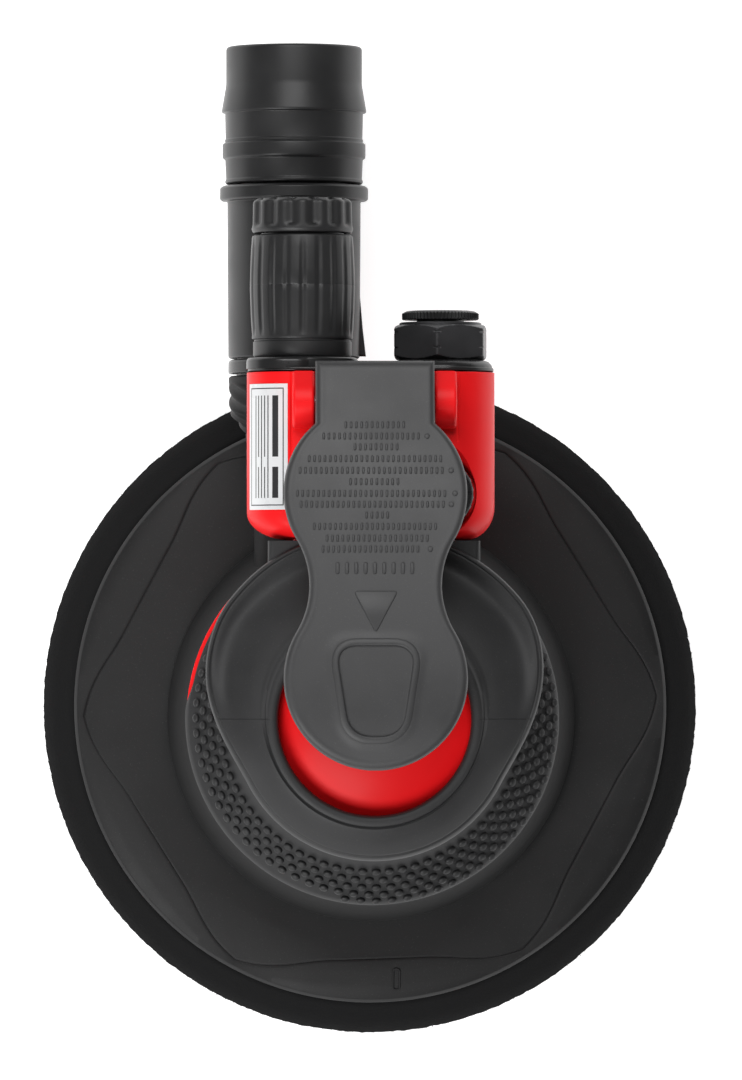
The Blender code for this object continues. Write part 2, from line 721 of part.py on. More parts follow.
# ---------------------------------------------------------------- valve parts
def make_regulator():
    """Speed regulator: a knob on a plug whose tongue swings across the feed passage."""
    profile = [(3.4, 80.0), (6.8, 80.0), (7.4, 79.2), (7.4, 71.3), (5.7, 71.3), (5.7, 70.4),
               (5.1, 70.4), (5.1, 69.0), (5.7, 69.0), (5.7, 57.0), (4.4, 57.0), (4.4, 68.2),
               (3.4, 68.2)]
    knob = turned("speed_regulator", profile, BLACK_PLASTIC, (VALVE_X, VALVE_Y, 0), steps=20)
    window = box("regulator_window", (VALVE_X - 2.0, VALVE_X + 8.0), (VALVE_Y - 8, VALVE_Y + 8),
                 (56.0, 68.0))
    front = box("regulator_front_window", (VALVE_X - 8.0, VALVE_X + 1.0),
                (VALVE_Y - 8, VALVE_Y - 1.0), (56.0, 68.0))
    return cut(knob, window, front)


def make_regulator_clip():
    outline = open_ring(5.4, 7.0, 60, 180, (VALVE_X, VALVE_Y))
    return prism("regulator_retaining_ring", [outline], 69.3, 70.1, BRIGHT_STEEL)


def make_throttle_sleeve():
    profile = [(2.1, 81.3), (4.2, 81.3), (4.2, 80.3), (3.1, 80.3), (3.1, 68.6), (2.1, 68.6)]
    return turned("throttle_sleeve", profile, BRASS, (VALVE_X, VALVE_Y, 0), steps=16)


def make_throttle_pin():
    profile = [(0, 87.6), (2.2, 87.6), (2.8, 87.0), (2.8, 85.0), (1.8, 84.2), (1.8, 65.0),
               (1.2, 64.4), (0, 64.4)]
    return turned("throttle_pin", profile, BRIGHT_STEEL, (VALVE_X, VALVE_Y, 0), steps=16)


def make_valve_seat():
    return ring("valve_seat", 3.2, 5.7, 61.5, 63.0, BLACK_RUBBER, at=(VALVE_X, 0, PORT_Z), along="Y",
                steps=18)


def make_tip_valve():
    profile = [(0, 64.8), (3.6, 64.8), (4.2, 64.2), (4.2, 63.3), (1.1, 63.3), (1.1, 48.8),
               (0, 48.8)]
    return turned("tip_valve", profile, BRASS, (VALVE_X, 0, PORT_Z), "Y", steps=16)


def make_valve_spring():
    """A conical compression spring between the tip valve and the inlet screen."""
    turns, per_turn = 3, 9
    front, rear = 67.2, 71.6
    curve = bpy.data.curves.new("valve_spring", "CURVE")
    curve.dimensions = "3D"
    curve.bevel_depth = 0.3 * MM
    curve.bevel_resolution = 2
    curve.use_fill_caps = True
    spline = curve.splines.new("POLY")
    count = turns * per_turn + 1
    spline.points.add(count - 1)
    for index, point in enumerate(spline.points):
        share = index / (count - 1)
        radius = 2.6 + 1.4 * share
        angle = math.tau * turns * share
        point.co = (radius * math.cos(angle) * MM, (front + (rear - front) * share) * MM,
                    radius * math.sin(angle) * MM, 1.0)
    return solid("valve_spring", curve, (VALVE_X, 0, PORT_Z), (0, 0, 0), BRIGHT_STEEL)


def make_inlet_screen():
    holes = [circle(0.9, spot, 8) for spot in [(0.0, 0.0)] + circle(2.8, count=6)]
    return prism("inlet_screen", [circle(5.0, count=18)] + holes, 72.2, 73.0, BRASS, "Y",
                 at=(VALVE_X, PORT_Z))


def make_inlet_bushing():
    profile = [(5.7, HEX_Y[1]), (9.2, HEX_Y[1]), (9.2, HEX_Y[0]), (7.9, HEX_Y[0]), (7.9, 68.6),
               (5.3, 68.6), (5.3, 73.3), (4.2, 73.6), (4.2, 74.6), (5.7, 75.6)]
    bushing = turned("inlet_bushing", profile, BLACK_OXIDE, (VALVE_X, 0, PORT_Z), "Y", steps=18)
    corner_r = HEX_ACROSS / 2 / math.cos(math.pi / 6)
    outside = circle(corner_r, (VALVE_X, PORT_Z), 6, 35.0)
    hexagon = prism("bushing_hexagon", [outside, circle(5.7, (VALVE_X, PORT_Z), 18)],
                    HEX_Y[0] + 0.4, HEX_Y[1] - 0.7, along="Y")
    return join(bushing, hexagon)


def make_inlet_plug():
    low, high = PLUG_Y
    profile = [(0, high), (7.4, high), (8.6, high - 0.8), (8.6, HEX_Y[1] + 0.6),
               (5.3, HEX_Y[1] + 0.6), (5.3, low + 0.8), (4.5, low), (0, low)]
    return turned("inlet_dust_plug", profile, BLACK_PLASTIC, (VALVE_X, 0, PORT_Z), "Y", steps=20)


# ---------------------------------------------------------------- lever
def lever_half_width(y):
    """Half width of the lever: straight at the rear, then two lobes with a waist between."""
    lobe_gap = (LEVER_REAR_LOBE_Y - LEVER_FRONT_LOBE_Y) / 2
    waist_y = LEVER_FRONT_LOBE_Y + lobe_gap
    lobe_r = LEVER_LOBE_R
    fillet = (LEVER_WAIST_HALF ** 2 + lobe_gap ** 2 - lobe_r ** 2) / (2 * (lobe_r - LEVER_WAIST_HALF))
    blend = lobe_gap * fillet / (lobe_r + fillet)
    if abs(y - waist_y) < blend:
        return LEVER_WAIST_HALF + fillet - math.sqrt(fillet ** 2 - (y - waist_y) ** 2)
    lobe_y = LEVER_REAR_LOBE_Y if y > waist_y else LEVER_FRONT_LOBE_Y
    half = math.sqrt(max(0.0, lobe_r ** 2 - (y - lobe_y) ** 2))
    return max(half, LEVER_REAR_HALF) if y > LEVER_REAR_LOBE_Y else half


def lever_top(y):
    """Height of the lever's top: it rises from the pivot to a crest and dips at the tip."""
    crest_y, crest_z = LEVER_CREST
    if y > crest_y:
        share = (y - crest_y) / (LEVER_REAR_Y - crest_y)
        return crest_z - (crest_z - LEVER_REAR_TOP) * share ** 1.6
    tip_y = LEVER_FRONT_LOBE_Y - LEVER_LOBE_R
    return crest_z - LEVER_TIP_DROP * ((crest_y - y) / (crest_y - tip_y)) ** 2


def lever_section(y):
    half = lever_half_width(y)
    top = lever_top(y)
    low = top - LEVER_THICK
    soft = min(1.0, half * 0.4)
    right = [(half - soft, low), (half, low + soft), (half, top - soft), (half - soft, top)]
    left = [(-x, z) for x, z in reversed(right)]
    return [(x, y, z) for x, z in right + left]


def make_lever():
    tip_y = LEVER_FRONT_LOBE_Y - LEVER_LOBE_R
    stations = [tip_y + 0.15, tip_y + 1.2, tip_y + 3.5, tip_y + 7.0, 1.5, 9.0, 16.0, 22.0, 26.0,
                30.0, 34.0, 38.0, 44.0, 50.0, 56.0, 60.5, 63.5, 65.6, 72.0, LEVER_REAR_Y]
    lever = loft("throttle_lever", [lever_section(y) for y in stations], BLACK_PLASTIC)
    side = LEVER_REAR_HALF - 0.3
    web = box("lever_web", (-side, side), (66.8, 74.6), (78.0, 87.0))
    hub = rod("lever_hub", 4.4, -side, side, at=(0, LEVER_PIN_Y, LEVER_PIN_Z), along="X", steps=18)
    pusher = rod("lever_pusher", 3.6, 87.9, 92.5, at=(VALVE_X, VALVE_Y, 0), steps=14)
    hole = rod("lever_pin_hole", LEVER_PIN_R + GAP, -20, 20, at=(0, LEVER_PIN_Y, LEVER_PIN_Z),
               along="X", steps=12)
    join(lever, web, hub, pusher)
    return cut(lever, hole)


def make_lever_pin():
    return rod("lever_pin", LEVER_PIN_R, -17.9, 17.9, BRIGHT_STEEL,
               at=(0, LEVER_PIN_Y, LEVER_PIN_Z), along="X", steps=12)


# ---------------------------------------------------------------- exhaust side
def make_manifold():
    """Rear plate: closes the valve block, carries the muffler and holds the dust tube."""
    low, high = MANIFOLD_Y
    plate = prism("rear_manifold", [block_outline(-0.2)], low, high, BLACK_PLASTIC, "Y")
    pad = rod("manifold_pad", 12.4, low + 0.5, 81.8, at=(EXHAUST_X, 0, PORT_Z), along="Y")
    web = box("manifold_web", (-27.0, -8.2), (low + 0.2, 81.6), (44.0, 54.0))
    lobe = rod("manifold_lobe", 14.9, low + 0.4, 82.6, at=(TUBE_X, 0, TUBE_Z), along="Y")
    join(plate, pad, web, lobe)
    tube_hole = rod("manifold_tube_hole", TUBE_NECK_R + GAP, low - EPS, 84.0,
                    at=(TUBE_X, 0, TUBE_Z), along="Y", spin=7.0)
    port = rod("manifold_port", 7.6, low - EPS, 84.0, at=(EXHAUST_X, 0, PORT_Z), along="Y",
               steps=20, spin=7.0)
    inlet = rod("manifold_inlet", 8.2, low - EPS, 84.0, at=(VALVE_X, 0, PORT_Z), along="Y",
                steps=20, spin=7.0)
    return cut(plate, tube_hole, port, inlet, *screw_holes("plate"))


def make_screws():
    profile = [(0, 82.5), (2.8, 82.5), (3.4, 81.8), (3.4, 80.3), (1.9, 80.3), (1.9, 68.0), (0, 67.0)]
    return [turned(f"manifold_screw_{index + 1}", profile, BLACK_OXIDE, (x, 0, z), "Y", steps=12)
            for index, (x, z) in enumerate(screw_spots())]


def make_muffler_barrel():
    profile = [(9.6, 109.0), (MUFFLER_R, 109.0), (MUFFLER_R, 85.0), (11.4, 84.6), (11.4, 82.1),
               (7.3, 82.1), (7.3, 78.0), (5.6, 78.0), (5.6, 84.6), (9.6, 84.6)]
    return turned("muffler_barrel", profile, BLACK_PLASTIC, (EXHAUST_X, 0, PORT_Z), "Y", steps=24)


def make_muffler_felt():
    return ring("muffler_felt", 5.4, 9.3, 85.0, 104.4, WHITE_FELT, at=(EXHAUST_X, 0, PORT_Z),
                along="Y", steps=20)


def make_muffler_cap():
    end = MUFFLER_END_Y
    profile = [(5.0, end), (10.6, end), (11.8, end - 1.2), (11.8, 109.3), (9.3, 109.3),
               (9.3, 104.8), (7.6, 104.8), (7.6, end - 1.6), (5.0, end - 1.6)]
    return turned("muffler_cap", profile, BLACK_PLASTIC, (EXHAUST_X, 0, PORT_Z), "Y", steps=24)


# ---------------------------------------------------------------- dust path
def make_shroud():
    low, high = SHROUD
    wall = SHROUD_WALL
    outer = [(0, high), (40.6, high), (42.2, 35.0), (44.8, 26.0), (SHROUD_R, low + 1.4),
             (SHROUD_R, low), (0, low)]
    inner = [(0, high + EPS), (34.0, high + EPS), (34.0, high - wall), (38.6, high - wall),
             (40.4, 34.5), (43.0, 25.6), (SHROUD_R - wall, low + 1.4), (SHROUD_R - wall, low - EPS),
             (0, low - EPS)]
    shroud = turned("dust_shroud", outer, BLACK_RUBBER, steps=36)
    spout = prism("shroud_spout", [spout_outline(0.0)], 30.0, SPOUT_END_Y, along="Y")
    chamber = turned("shroud_chamber", inner, steps=36, spin=5.0)
    channel = prism("shroud_channel", [spout_outline(-wall)], 28.0, SPOUT_END_Y + EPS, along="Y")
    join(shroud, spout)
    return cut(shroud, chamber, channel)


def spout_outline(grow):
    x = (SPOUT_X[0] - grow, SPOUT_X[1] + grow)
    z = (SPOUT_Z[0] - grow, SPOUT_Z[1] + grow)
    return rounded(x, z, 8.0 + grow, 8.0 + grow, 5)


def sleeve_rings(grow, ends):
    """The sleeve's skin, from the spout's outline to a circle round the tube's neck."""
    oval = spout_outline(GAP + grow)
    start = math.degrees(math.atan2(oval[0][1] - TUBE_Z, oval[0][0] - TUBE_X))
    disc = circle(TUBE_NECK_R + GAP + grow, (TUBE_X, TUBE_Z), len(oval), start)
    levels = [(ends[0], 0.0), (62.5, 0.0), (65.0, 0.22), (67.5, 0.78), (70.0, 1.0), (ends[1], 1.0)]
    rings = []
    for y, share in levels:
        rings.append([(a[0] + (b[0] - a[0]) * share, y, a[1] + (b[1] - a[1]) * share)
                      for a, b in zip(oval, disc)])
    return rings


def make_sleeve():
    sleeve = loft("dust_sleeve", sleeve_rings(1.5, (54.0, 77.4)), BLACK_RUBBER)
    hollow = loft("sleeve_hollow", sleeve_rings(0.0, (53.0, 78.4)))
    return cut(sleeve, hollow)


def make_dust_tube():
    low, high = TUBE_Y
    groove_r = 13.5
    bore_r = 12.6
    profile = [(bore_r, high), (TUBE_COLLAR_R - 0.5, high), (TUBE_COLLAR_R, high - 0.5),
               (TUBE_COLLAR_R, 116.9), (TUBE_R, 116.9), (TUBE_R, 82.9), (TUBE_NECK_R, 82.9),
               (TUBE_NECK_R, low), (11.3, low), (11.3, 83.5), (bore_r, 85.0), (bore_r, 105.4),
               (groove_r, 105.4), (groove_r, 107.4), (bore_r, 107.4)]
    return turned("dust_tube", profile, BLACK_PLASTIC, (TUBE_X, 0, TUBE_Z), "Y", steps=24)


def make_spigot_clip():
    outline = open_ring(11.7, 13.2, 40, 270, (TUBE_X, TUBE_Z), 18)
    return prism("spigot_retaining_ring", [outline], 105.8, 107.0, BRIGHT_STEEL, "Y")


def make_spigot():
    low, high = SPIGOT_Y
    bore_r = 10.4
    profile = [(SPIGOT_BORE_R, high), (SPIGOT_R - 0.4, high), (SPIGOT_R, high - 0.4),
               (SPIGOT_R, 142.7), (16.4, 137.4), (15.6, 136.8), (15.6, 130.2), (16.2, 130.2),
               (16.2, 126.8), (15.5, 126.8), (15.5, 120.9), (12.2, 120.9), (12.2, 107.5),
               (11.3, 107.5), (11.3, 105.3), (12.2, 105.3), (12.2, low), (bore_r, low),
               (bore_r, 121.0), (SPIGOT_BORE_R, 124.0)]
    return turned("hose_spigot", profile, BLACK_PLASTIC, (TUBE_X, 0, TUBE_Z), "Y", steps=24)


# ---------------------------------------------------------------- label
def make_label():
    """A thin plate that follows the valve block's rounded left shoulder."""
    round_r = BLOCK_TOP_ROUND
    centre = (BLOCK_X[0] + round_r, BLOCK_Z[1] - round_r)
    skin = arc(round_r + GAP + 0.3, centre, 110, 176, 7) + arc(round_r + GAP, centre, 176, 110, 7)
    return prism("rating_label", [skin], 46.5, 74.5, SILVER_LABEL, "Y")


# ---------------------------------------------------------------- assembly
clear_scene()
PARTS = new_collection("random_orbital_air_sander")
CUTTERS = new_collection("cutters")

spindle_bearing = make_bearing("spindle_bearing", (BIG_BORE_R, BIG_OUTER_R), SPINDLE_BEARING, 7,
                               PAD_AT)
front_bearing = make_bearing("front_bearing", (BIG_BORE_R, BIG_OUTER_R), FRONT_BEARING, 7)
rear_bearing = make_bearing("rear_bearing", (SMALL_BORE_R, SMALL_OUTER_R), REAR_BEARING, 7)

pad_group = [make_hook_facing(), make_pad_foam(), make_pad_plate(), make_pad_stud(),
             make_spindle(), spindle_bearing[0]]
rotor_group = [make_balancer(), make_spindle_clip(), spindle_bearing[1], spindle_bearing[2],
               front_bearing[0], rear_bearing[0], make_rotor(), make_rotor_key(),
               make_shaft_clip(), *[make_vane(index) for index in range(VANES)]]

make_lock_ring()
make_front_end_plate()
make_rear_end_plate()
make_cylinder()
make_align_pin()
make_motor_seal()
make_housing()
make_grip()
make_lever_pin()
make_regulator_clip()
make_throttle_sleeve()
make_valve_seat()
make_valve_spring()
make_inlet_screen()
make_inlet_bushing()
make_manifold()
make_screws()
make_muffler_barrel()
make_muffler_felt()
make_muffler_cap()
make_shroud()
make_sleeve()
make_dust_tube()
make_spigot_clip()
make_label()

axis_empty("motor_axis", (0, 0, 0), rotor_group)
axis_empty("pad_axis", PAD_AT, pad_group)
axis_empty("lever_axis", (0, LEVER_PIN_Y, LEVER_PIN_Z), [make_lever()])
axis_empty("throttle_pin_axis", (VALVE_X, VALVE_Y, 0), [make_throttle_pin()])
axis_empty("tip_valve_axis", (VALVE_X, 63.3, PORT_Z + 4.2), [make_tip_valve()])
axis_empty("regulator_axis", (VALVE_X, VALVE_Y, 0), [make_regulator()])
axis_empty("spigot_axis", (TUBE_X, 0, TUBE_Z), [make_spigot()])
axis_empty("plug_axis", (VALVE_X, 0, PORT_Z), [make_inlet_plug()])
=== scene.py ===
"""Looks of a palm-grip air sander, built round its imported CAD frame.

Lengths are in millimetres, and build() turns them into metres. +Z is up, +Y runs to the hose
end, and the origin is on the motor axis in the plane of the sanding face.
"""
import json
from math import atan2, ceil, cos, degrees, dist, exp, hypot, pi, radians, sin, sqrt, tau

import bmesh
import bpy
from mathutils import Matrix, Vector, noise


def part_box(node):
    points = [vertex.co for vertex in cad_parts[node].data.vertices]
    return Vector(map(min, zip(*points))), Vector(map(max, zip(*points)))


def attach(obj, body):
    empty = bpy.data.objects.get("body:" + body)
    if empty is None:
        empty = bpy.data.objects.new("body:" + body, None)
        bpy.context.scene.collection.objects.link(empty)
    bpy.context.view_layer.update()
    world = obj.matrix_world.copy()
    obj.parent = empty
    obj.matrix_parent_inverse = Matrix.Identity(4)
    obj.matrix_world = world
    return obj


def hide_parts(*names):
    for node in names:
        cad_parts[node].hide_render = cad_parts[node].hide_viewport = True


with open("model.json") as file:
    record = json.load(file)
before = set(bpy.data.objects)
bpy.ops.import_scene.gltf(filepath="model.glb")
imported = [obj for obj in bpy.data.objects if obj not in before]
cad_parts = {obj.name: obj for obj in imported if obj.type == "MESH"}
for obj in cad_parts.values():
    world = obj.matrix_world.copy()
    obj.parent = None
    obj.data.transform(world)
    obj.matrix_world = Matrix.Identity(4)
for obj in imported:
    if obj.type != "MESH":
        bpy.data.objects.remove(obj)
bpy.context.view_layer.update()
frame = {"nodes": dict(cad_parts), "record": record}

MM = 0.001
GAP = 0.3
TINY = 0.0001
EDGE_STEPS = 3


# ---- places from the CAD
def low(node):
    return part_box(node)[0] / MM


def high(node):
    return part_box(node)[1] / MM


def middle(node):
    return (low(node) + high(node)) / 2


def span(node, axis):
    """Where a node starts and ends along an axis."""
    k = "XYZ".index(axis)
    return low(node)[k], high(node)[k]


PAD = middle("hook_facing")
PAD_R = (high("hook_facing") - low("hook_facing")).x / 2
TUBE = middle("dust_tube")
MUFFLER = middle("muffler_barrel")
INLET = middle("inlet_dust_plug") + Vector((0.35, 0.0, 0.0))
KNOB = middle("speed_regulator")
PIN = middle("lever_pin")
LEVER_TIP, LEVER_REAR = low("throttle_lever").y, high("throttle_lever").y + 0.5
LEVER_CREST = high("throttle_lever").z


# ---- mesh helpers
def link(name, data):
    """An object for a mesh, lamp or camera, in the scene."""
    obj = bpy.data.objects.new(name, data)
    bpy.context.scene.collection.objects.link(obj)
    return obj


def build(name, shells, sharp=35.0):
    """One mesh object from (points, faces) shells in millimetres."""
    points = []
    faces = []
    for shell_points, shell_faces in shells:
        first = len(points)
        points.extend([(p[0] * MM, p[1] * MM, p[2] * MM) for p in shell_points])
        faces.extend([tuple(first + i for i in face) for face in shell_faces])
    mesh = bpy.data.meshes.new(name)
    mesh.from_pydata(points, [], faces)
    bm = bmesh.new()
    bm.from_mesh(mesh)
    bmesh.ops.recalc_face_normals(bm, faces=bm.faces)
    bm.to_mesh(mesh)
    bm.free()
    obj = link(name, mesh)
    shade(obj, sharp)
    return obj


def shade(obj, sharp):
    """Smooth shading, with edges past an angle in degrees kept sharp."""
    obj.data.shade_smooth()
    obj.data.set_sharp_from_angle(angle=radians(sharp))


def skin(rows, loop=False, caps=False):
    """Faces between closed rings of equal counts. A ring of one point is a pole."""
    points = []
    starts = []
    for row in rows:
        starts.append(len(points))
        points.extend(row)
    pairs = list(zip(range(len(rows)), range(1, len(rows))))
    if loop:
        pairs.append((len(rows) - 1, 0))
    faces = []
    for a, b in pairs:
        count = max(len(rows[a]), len(rows[b]))
        for i in range(count):
            j = (i + 1) % count
            if len(rows[a]) == 1:
                faces.append((starts[a], starts[b] + j, starts[b] + i))
            elif len(rows[b]) == 1:
                faces.append((starts[a] + i, starts[a] + j, starts[b]))
            else:
                faces.append((starts[a] + i, starts[a] + j, starts[b] + j, starts[b] + i))
    if caps:
        count = len(rows[0])
        faces.append(tuple(reversed(range(count))))
        faces.append(tuple(starts[-1] + i for i in range(count)))
    return points, faces


def spot(along, at, u, v, h):
    """A point at (u, v) across an axis and h along it. Across Y and X, v is up."""
    if along == "Z":
        return (at[0] + u, at[1] + v, h)
    if along == "Y":
        return (at[0] + u, h, at[2] + v)
    return (h, at[1] + u, at[2] + v)


def turns_of(count):
    return [tau * i / count for i in range(count)]


def polar(a, r, at=(0.0, 0.0)):
    return (at[0] + r * cos(a), at[1] + r * sin(a))


def lathe(profile, count=96, along="Z", at=(0, 0, 0), shape=None):
    """Turn (radius, height) points. A profile that isn't on the axis closes on itself."""
    rows = []
    for r, h in profile:
        if r < TINY:
            rows.append([spot(along, at, 0, 0, h)])
            continue
        row = []
        for a in turns_of(count):
            ra, ha = shape(a, r, h) if shape else (r, h)
            row.append(spot(along, at, ra * cos(a), ra * sin(a), ha))
        rows.append(row)
    return skin(rows, loop=profile[0][0] > TINY)


def soften(points, steps=4, cyclic=False):
    """Round the corners of a profile whose points carry a third number, the radius."""
    out = []
    count = len(points)
    for i, point in enumerate(points):
        here = Vector(point[:2])
        radius = point[2] if len(point) > 2 else 0.0
        if radius == 0.0 or (not cyclic and i in (0, count - 1)):
            out.append((here.x, here.y))
            continue
        back = Vector(points[i - 1][:2]) - here
        ahead = Vector(points[(i + 1) % count][:2]) - here
        first = here + back.normalized() * min(radius, back.length * 0.49)
        last = here + ahead.normalized() * min(radius, ahead.length * 0.49)
        for k in range(steps + 1):
            t = k / steps
            bend = first * (1 - t) ** 2 + here * (2 * t * (1 - t)) + last * t ** 2
            out.append((bend.x, bend.y))
    return out


def dense(points, step, cyclic=False):
    """Split the long steps of a line of points."""
    out = []
    pairs = list(zip(points, points[1:]))
    if cyclic:
        pairs.append((points[-1], points[0]))
    for a, b in pairs:
        pieces = max(1, ceil(dist(a, b) / step))
        out.extend([tuple(p + (q - p) * k / pieces for p, q in zip(a, b)) for k in range(pieces)])
    if not cyclic:
        out.append(points[-1])
    return out


def curve(points, steps):
    """A smooth line through points, with the steps to take in each of its gaps."""
    ends = [points[0], *points, points[-1]]
    out = []
    for i in range(len(points) - 1):
        p0, p1, p2, p3 = ends[i:i + 4]
        for k in range(steps[i]):
            t = k / steps[i]
            out.append(tuple(0.5 * (2 * b + (c - a) * t + (2 * a - 5 * b + 4 * c - d) * t * t
                                    + (3 * b - a - 3 * c + d) * t ** 3)
                             for a, b, c, d in zip(p0, p1, p2, p3)))
    out.append(points[-1])
    return out


def inset(outline, depth):
    """Move an outline's points inwards, or outwards by a negative depth."""
    count = len(outline)
    area = sum(outline[i - 1][0] * outline[i][1] - outline[i][0] * outline[i - 1][1]
               for i in range(count))
    side = 1.0 if area > 0 else -1.0
    out = []
    for i, (u, v) in enumerate(outline):
        du = outline[(i + 1) % count][0] - outline[i - 1][0]
        dv = outline[(i + 1) % count][1] - outline[i - 1][1]
        size = max(TINY, hypot(du, dv))
        out.append((u - side * dv / size * depth, v + side * du / size * depth))
    return out


def slab(outline, start, end, edge=0.0, along="Z", last_edge=None):
    """Extrude an outline, with rounded edges at both ends."""
    last_edge = edge if last_edge is None else last_edge
    bends = [pi / 2 * k / EDGE_STEPS for k in range(EDGE_STEPS + 1)]
    marks = []
    for radius, h, way in ((edge, start, 1), (last_edge, end, -1)):
        side = [(radius * (1 - sin(a)), h + way * radius * (1 - cos(a))) for a in bends]
        marks += side[::way] if radius else [(0.0, h)]
    rows = [[spot(along, (0, 0, 0), u, v, h) for u, v in inset(outline, depth)] for depth, h in marks]
    return skin(rows, caps=True)


def round_rect(x, y, radii, count=8):
    """A rectangle, anticlockwise from its low left corner. The radii are one number or four."""
    if not isinstance(radii, tuple):
        radii = (radii,) * 4
    centres = ((x[0] + radii[0], y[0] + radii[0]), (x[1] - radii[1], y[0] + radii[1]),
               (x[1] - radii[2], y[1] - radii[2]), (x[0] + radii[3], y[1] - radii[3]))
    out = []
    for quarter, (centre, r) in enumerate(zip(centres, radii)):
        for k in range(count + 1):
            out.append(polar(radians(180 + 90 * quarter + 90 * k / count), r, centre))
    return out


def ring_of(radius, centre=(0.0, 0.0), count=48, start=0.0):
    return [polar(radians(start) + a, radius, centre) for a in turns_of(count)]


def bore(x, z, radius, start, end, count=48, turn=3.0):
    """A round cutter along Y."""
    return slab(ring_of(radius, (x, z), count, turn), start, end, 0, "Y")


def combine(obj, shells, operation, sharp):
    """Apply booleans with shells, one after the other."""
    tools = [build("tool", [shell]) for shell in shells]
    for tool in tools:
        mod = obj.modifiers.new("combine", "BOOLEAN")
        mod.operation = operation
        mod.solver = "MANIFOLD"
        mod.object = tool
    depsgraph = bpy.context.evaluated_depsgraph_get()
    mesh = bpy.data.meshes.new_from_object(obj.evaluated_get(depsgraph))
    obj.modifiers.clear()
    old = obj.data
    obj.data = mesh
    mesh.name = obj.name
    bpy.data.meshes.remove(old)
    for tool in tools:
        data = tool.data
        bpy.data.objects.remove(tool)
        bpy.data.meshes.remove(data)
    shade(obj, sharp)


def join(obj, shells, sharp=35.0):
    combine(obj, shells, "UNION", sharp)


def cut(obj, shells, sharp=35.0):
    combine(obj, shells, "DIFFERENCE", sharp)


def even(obj):
    """Even out the shading of faces that booleans cut up."""
    mod = obj.modifiers.new("even", "WEIGHTED_NORMAL")
    mod.keep_sharp = True
    mod.weight = 60
    return obj


def ramp(value, start, end):
    """A smooth step from 0 at the start to 1 at the end."""
    t = min(1.0, max(0.0, (value - start) / (end - start)))
    return t * t * (3 - 2 * t)


# ---- materials
# Pale colour of painted glints: specks of painted highlight that stand in for light catching the
# grain.
PAINTED_GLINT = (0.35, 0.34, 0.33, 1.0)
PATCHES = {"From Min": 0.3, "From Max": 0.7}


def wire(tree, made, values, links):
    """Set a shader node's inputs by name, and link sockets into others."""
    for name, value in values.items():
        made.inputs[name].default_value = value
    for name, socket in links.items():
        tree.links.new(socket, made.inputs[name])


def node(tree, kind, place, values, links):
    made = tree.nodes.new("ShaderNode" + kind)
    made.location = place
    wire(tree, made, values, links)
    return made


def blend(tree, place, values, links):
    """A colour that goes from A to B by a factor."""
    mix = node(tree, "Mix", place, {}, {})
    mix.data_type = "RGBA"
    wire(tree, mix, values, links)
    return mix.outputs["Result"]


def finish(slot, name, colour, rough, grain=0.5, depth=0.02, metal=0.0, coat=0.0, coat_rough=0.1,
           tint=0.12, spread=0.06, glint_speck=0.0, patch=14.0, level=0.5, pores=False, fuzz=0.0):
    """A slot, and its finish with fine grain in the bump and patches of tone and gloss.

    The grain and the patch are the sizes of their features, and depth is the height of the
    grain. The speck amount mixes in pale specks at grain size: painted glints, a painted
    highlight where light would catch the grain.
    """
    mat = bpy.data.materials.new(name)
    mat.use_nodes = True
    tree = mat.node_tree
    where = {"Vector": node(tree, "TexCoord", (-1100, 0), {}, {}).outputs["Object"]}
    noises = []
    for size, detail, uneven, y in ((patch, 4.0, 0.6, 250), (grain, 3.0, 0.55, -250)):
        values = {"Scale": 1 / (size * MM), "Detail": detail, "Roughness": uneven}
        noises.append(node(tree, "TexNoise", (-800, y), values, where).outputs["Fac"])
    big, fine = noises
    tone = node(tree, "MapRange", (-560, 380), PATCHES, {"Value": big}).outputs["Result"]
    shades = {"A": (*[c * (1 - tint) for c in colour], 1.0),
              "B": (*[c * (1 + tint) for c in colour], 1.0)}
    paint = blend(tree, (-340, 380), shades, {"Factor": tone})
    # Painted glints: pale specks mixed into the colour at the grain's peaks, a painted highlight.
    if glint_speck:
        values = {"From Min": 0.62, "From Max": 0.72, "To Max": glint_speck}
        glint_specks = node(tree, "MapRange", (-560, 120), values, {"Value": fine}).outputs["Result"]
        paint = blend(tree, (-140, 300), {"B": PAINTED_GLINT}, {"Factor": glint_specks, "A": paint})
    values = {**PATCHES, "To Min": max(0.03, rough - spread), "To Max": min(1.0, rough + spread)}
    gloss = node(tree, "MapRange", (-340, 60), values, {"Value": big}).outputs["Result"]
    height = fine
    if pores:
        cells = node(tree, "TexVoronoi", (-800, -560), {"Scale": 1 / (2.2 * grain * MM)}, where)
        links = {0: fine, 1: cells.outputs["Distance"]}
        pit = node(tree, "Math", (-560, -420), {}, links)
        pit.operation = "ADD"
        height = pit.outputs["Value"]
    values = {"Strength": 1.0, "Distance": depth * MM}
    bump = node(tree, "Bump", (-340, -250), values, {"Height": height})
    values = {"Metallic": metal, "Specular IOR Level": level, "Coat Weight": coat,
              "Coat Roughness": coat_rough, "Sheen Weight": fuzz, "Sheen Roughness": 0.5}
    links = {"Base Color": paint, "Roughness": gloss, "Normal": bump.outputs["Normal"]}
    wire(tree, tree.nodes["Principled BSDF"], values, links)
    return slot, mat
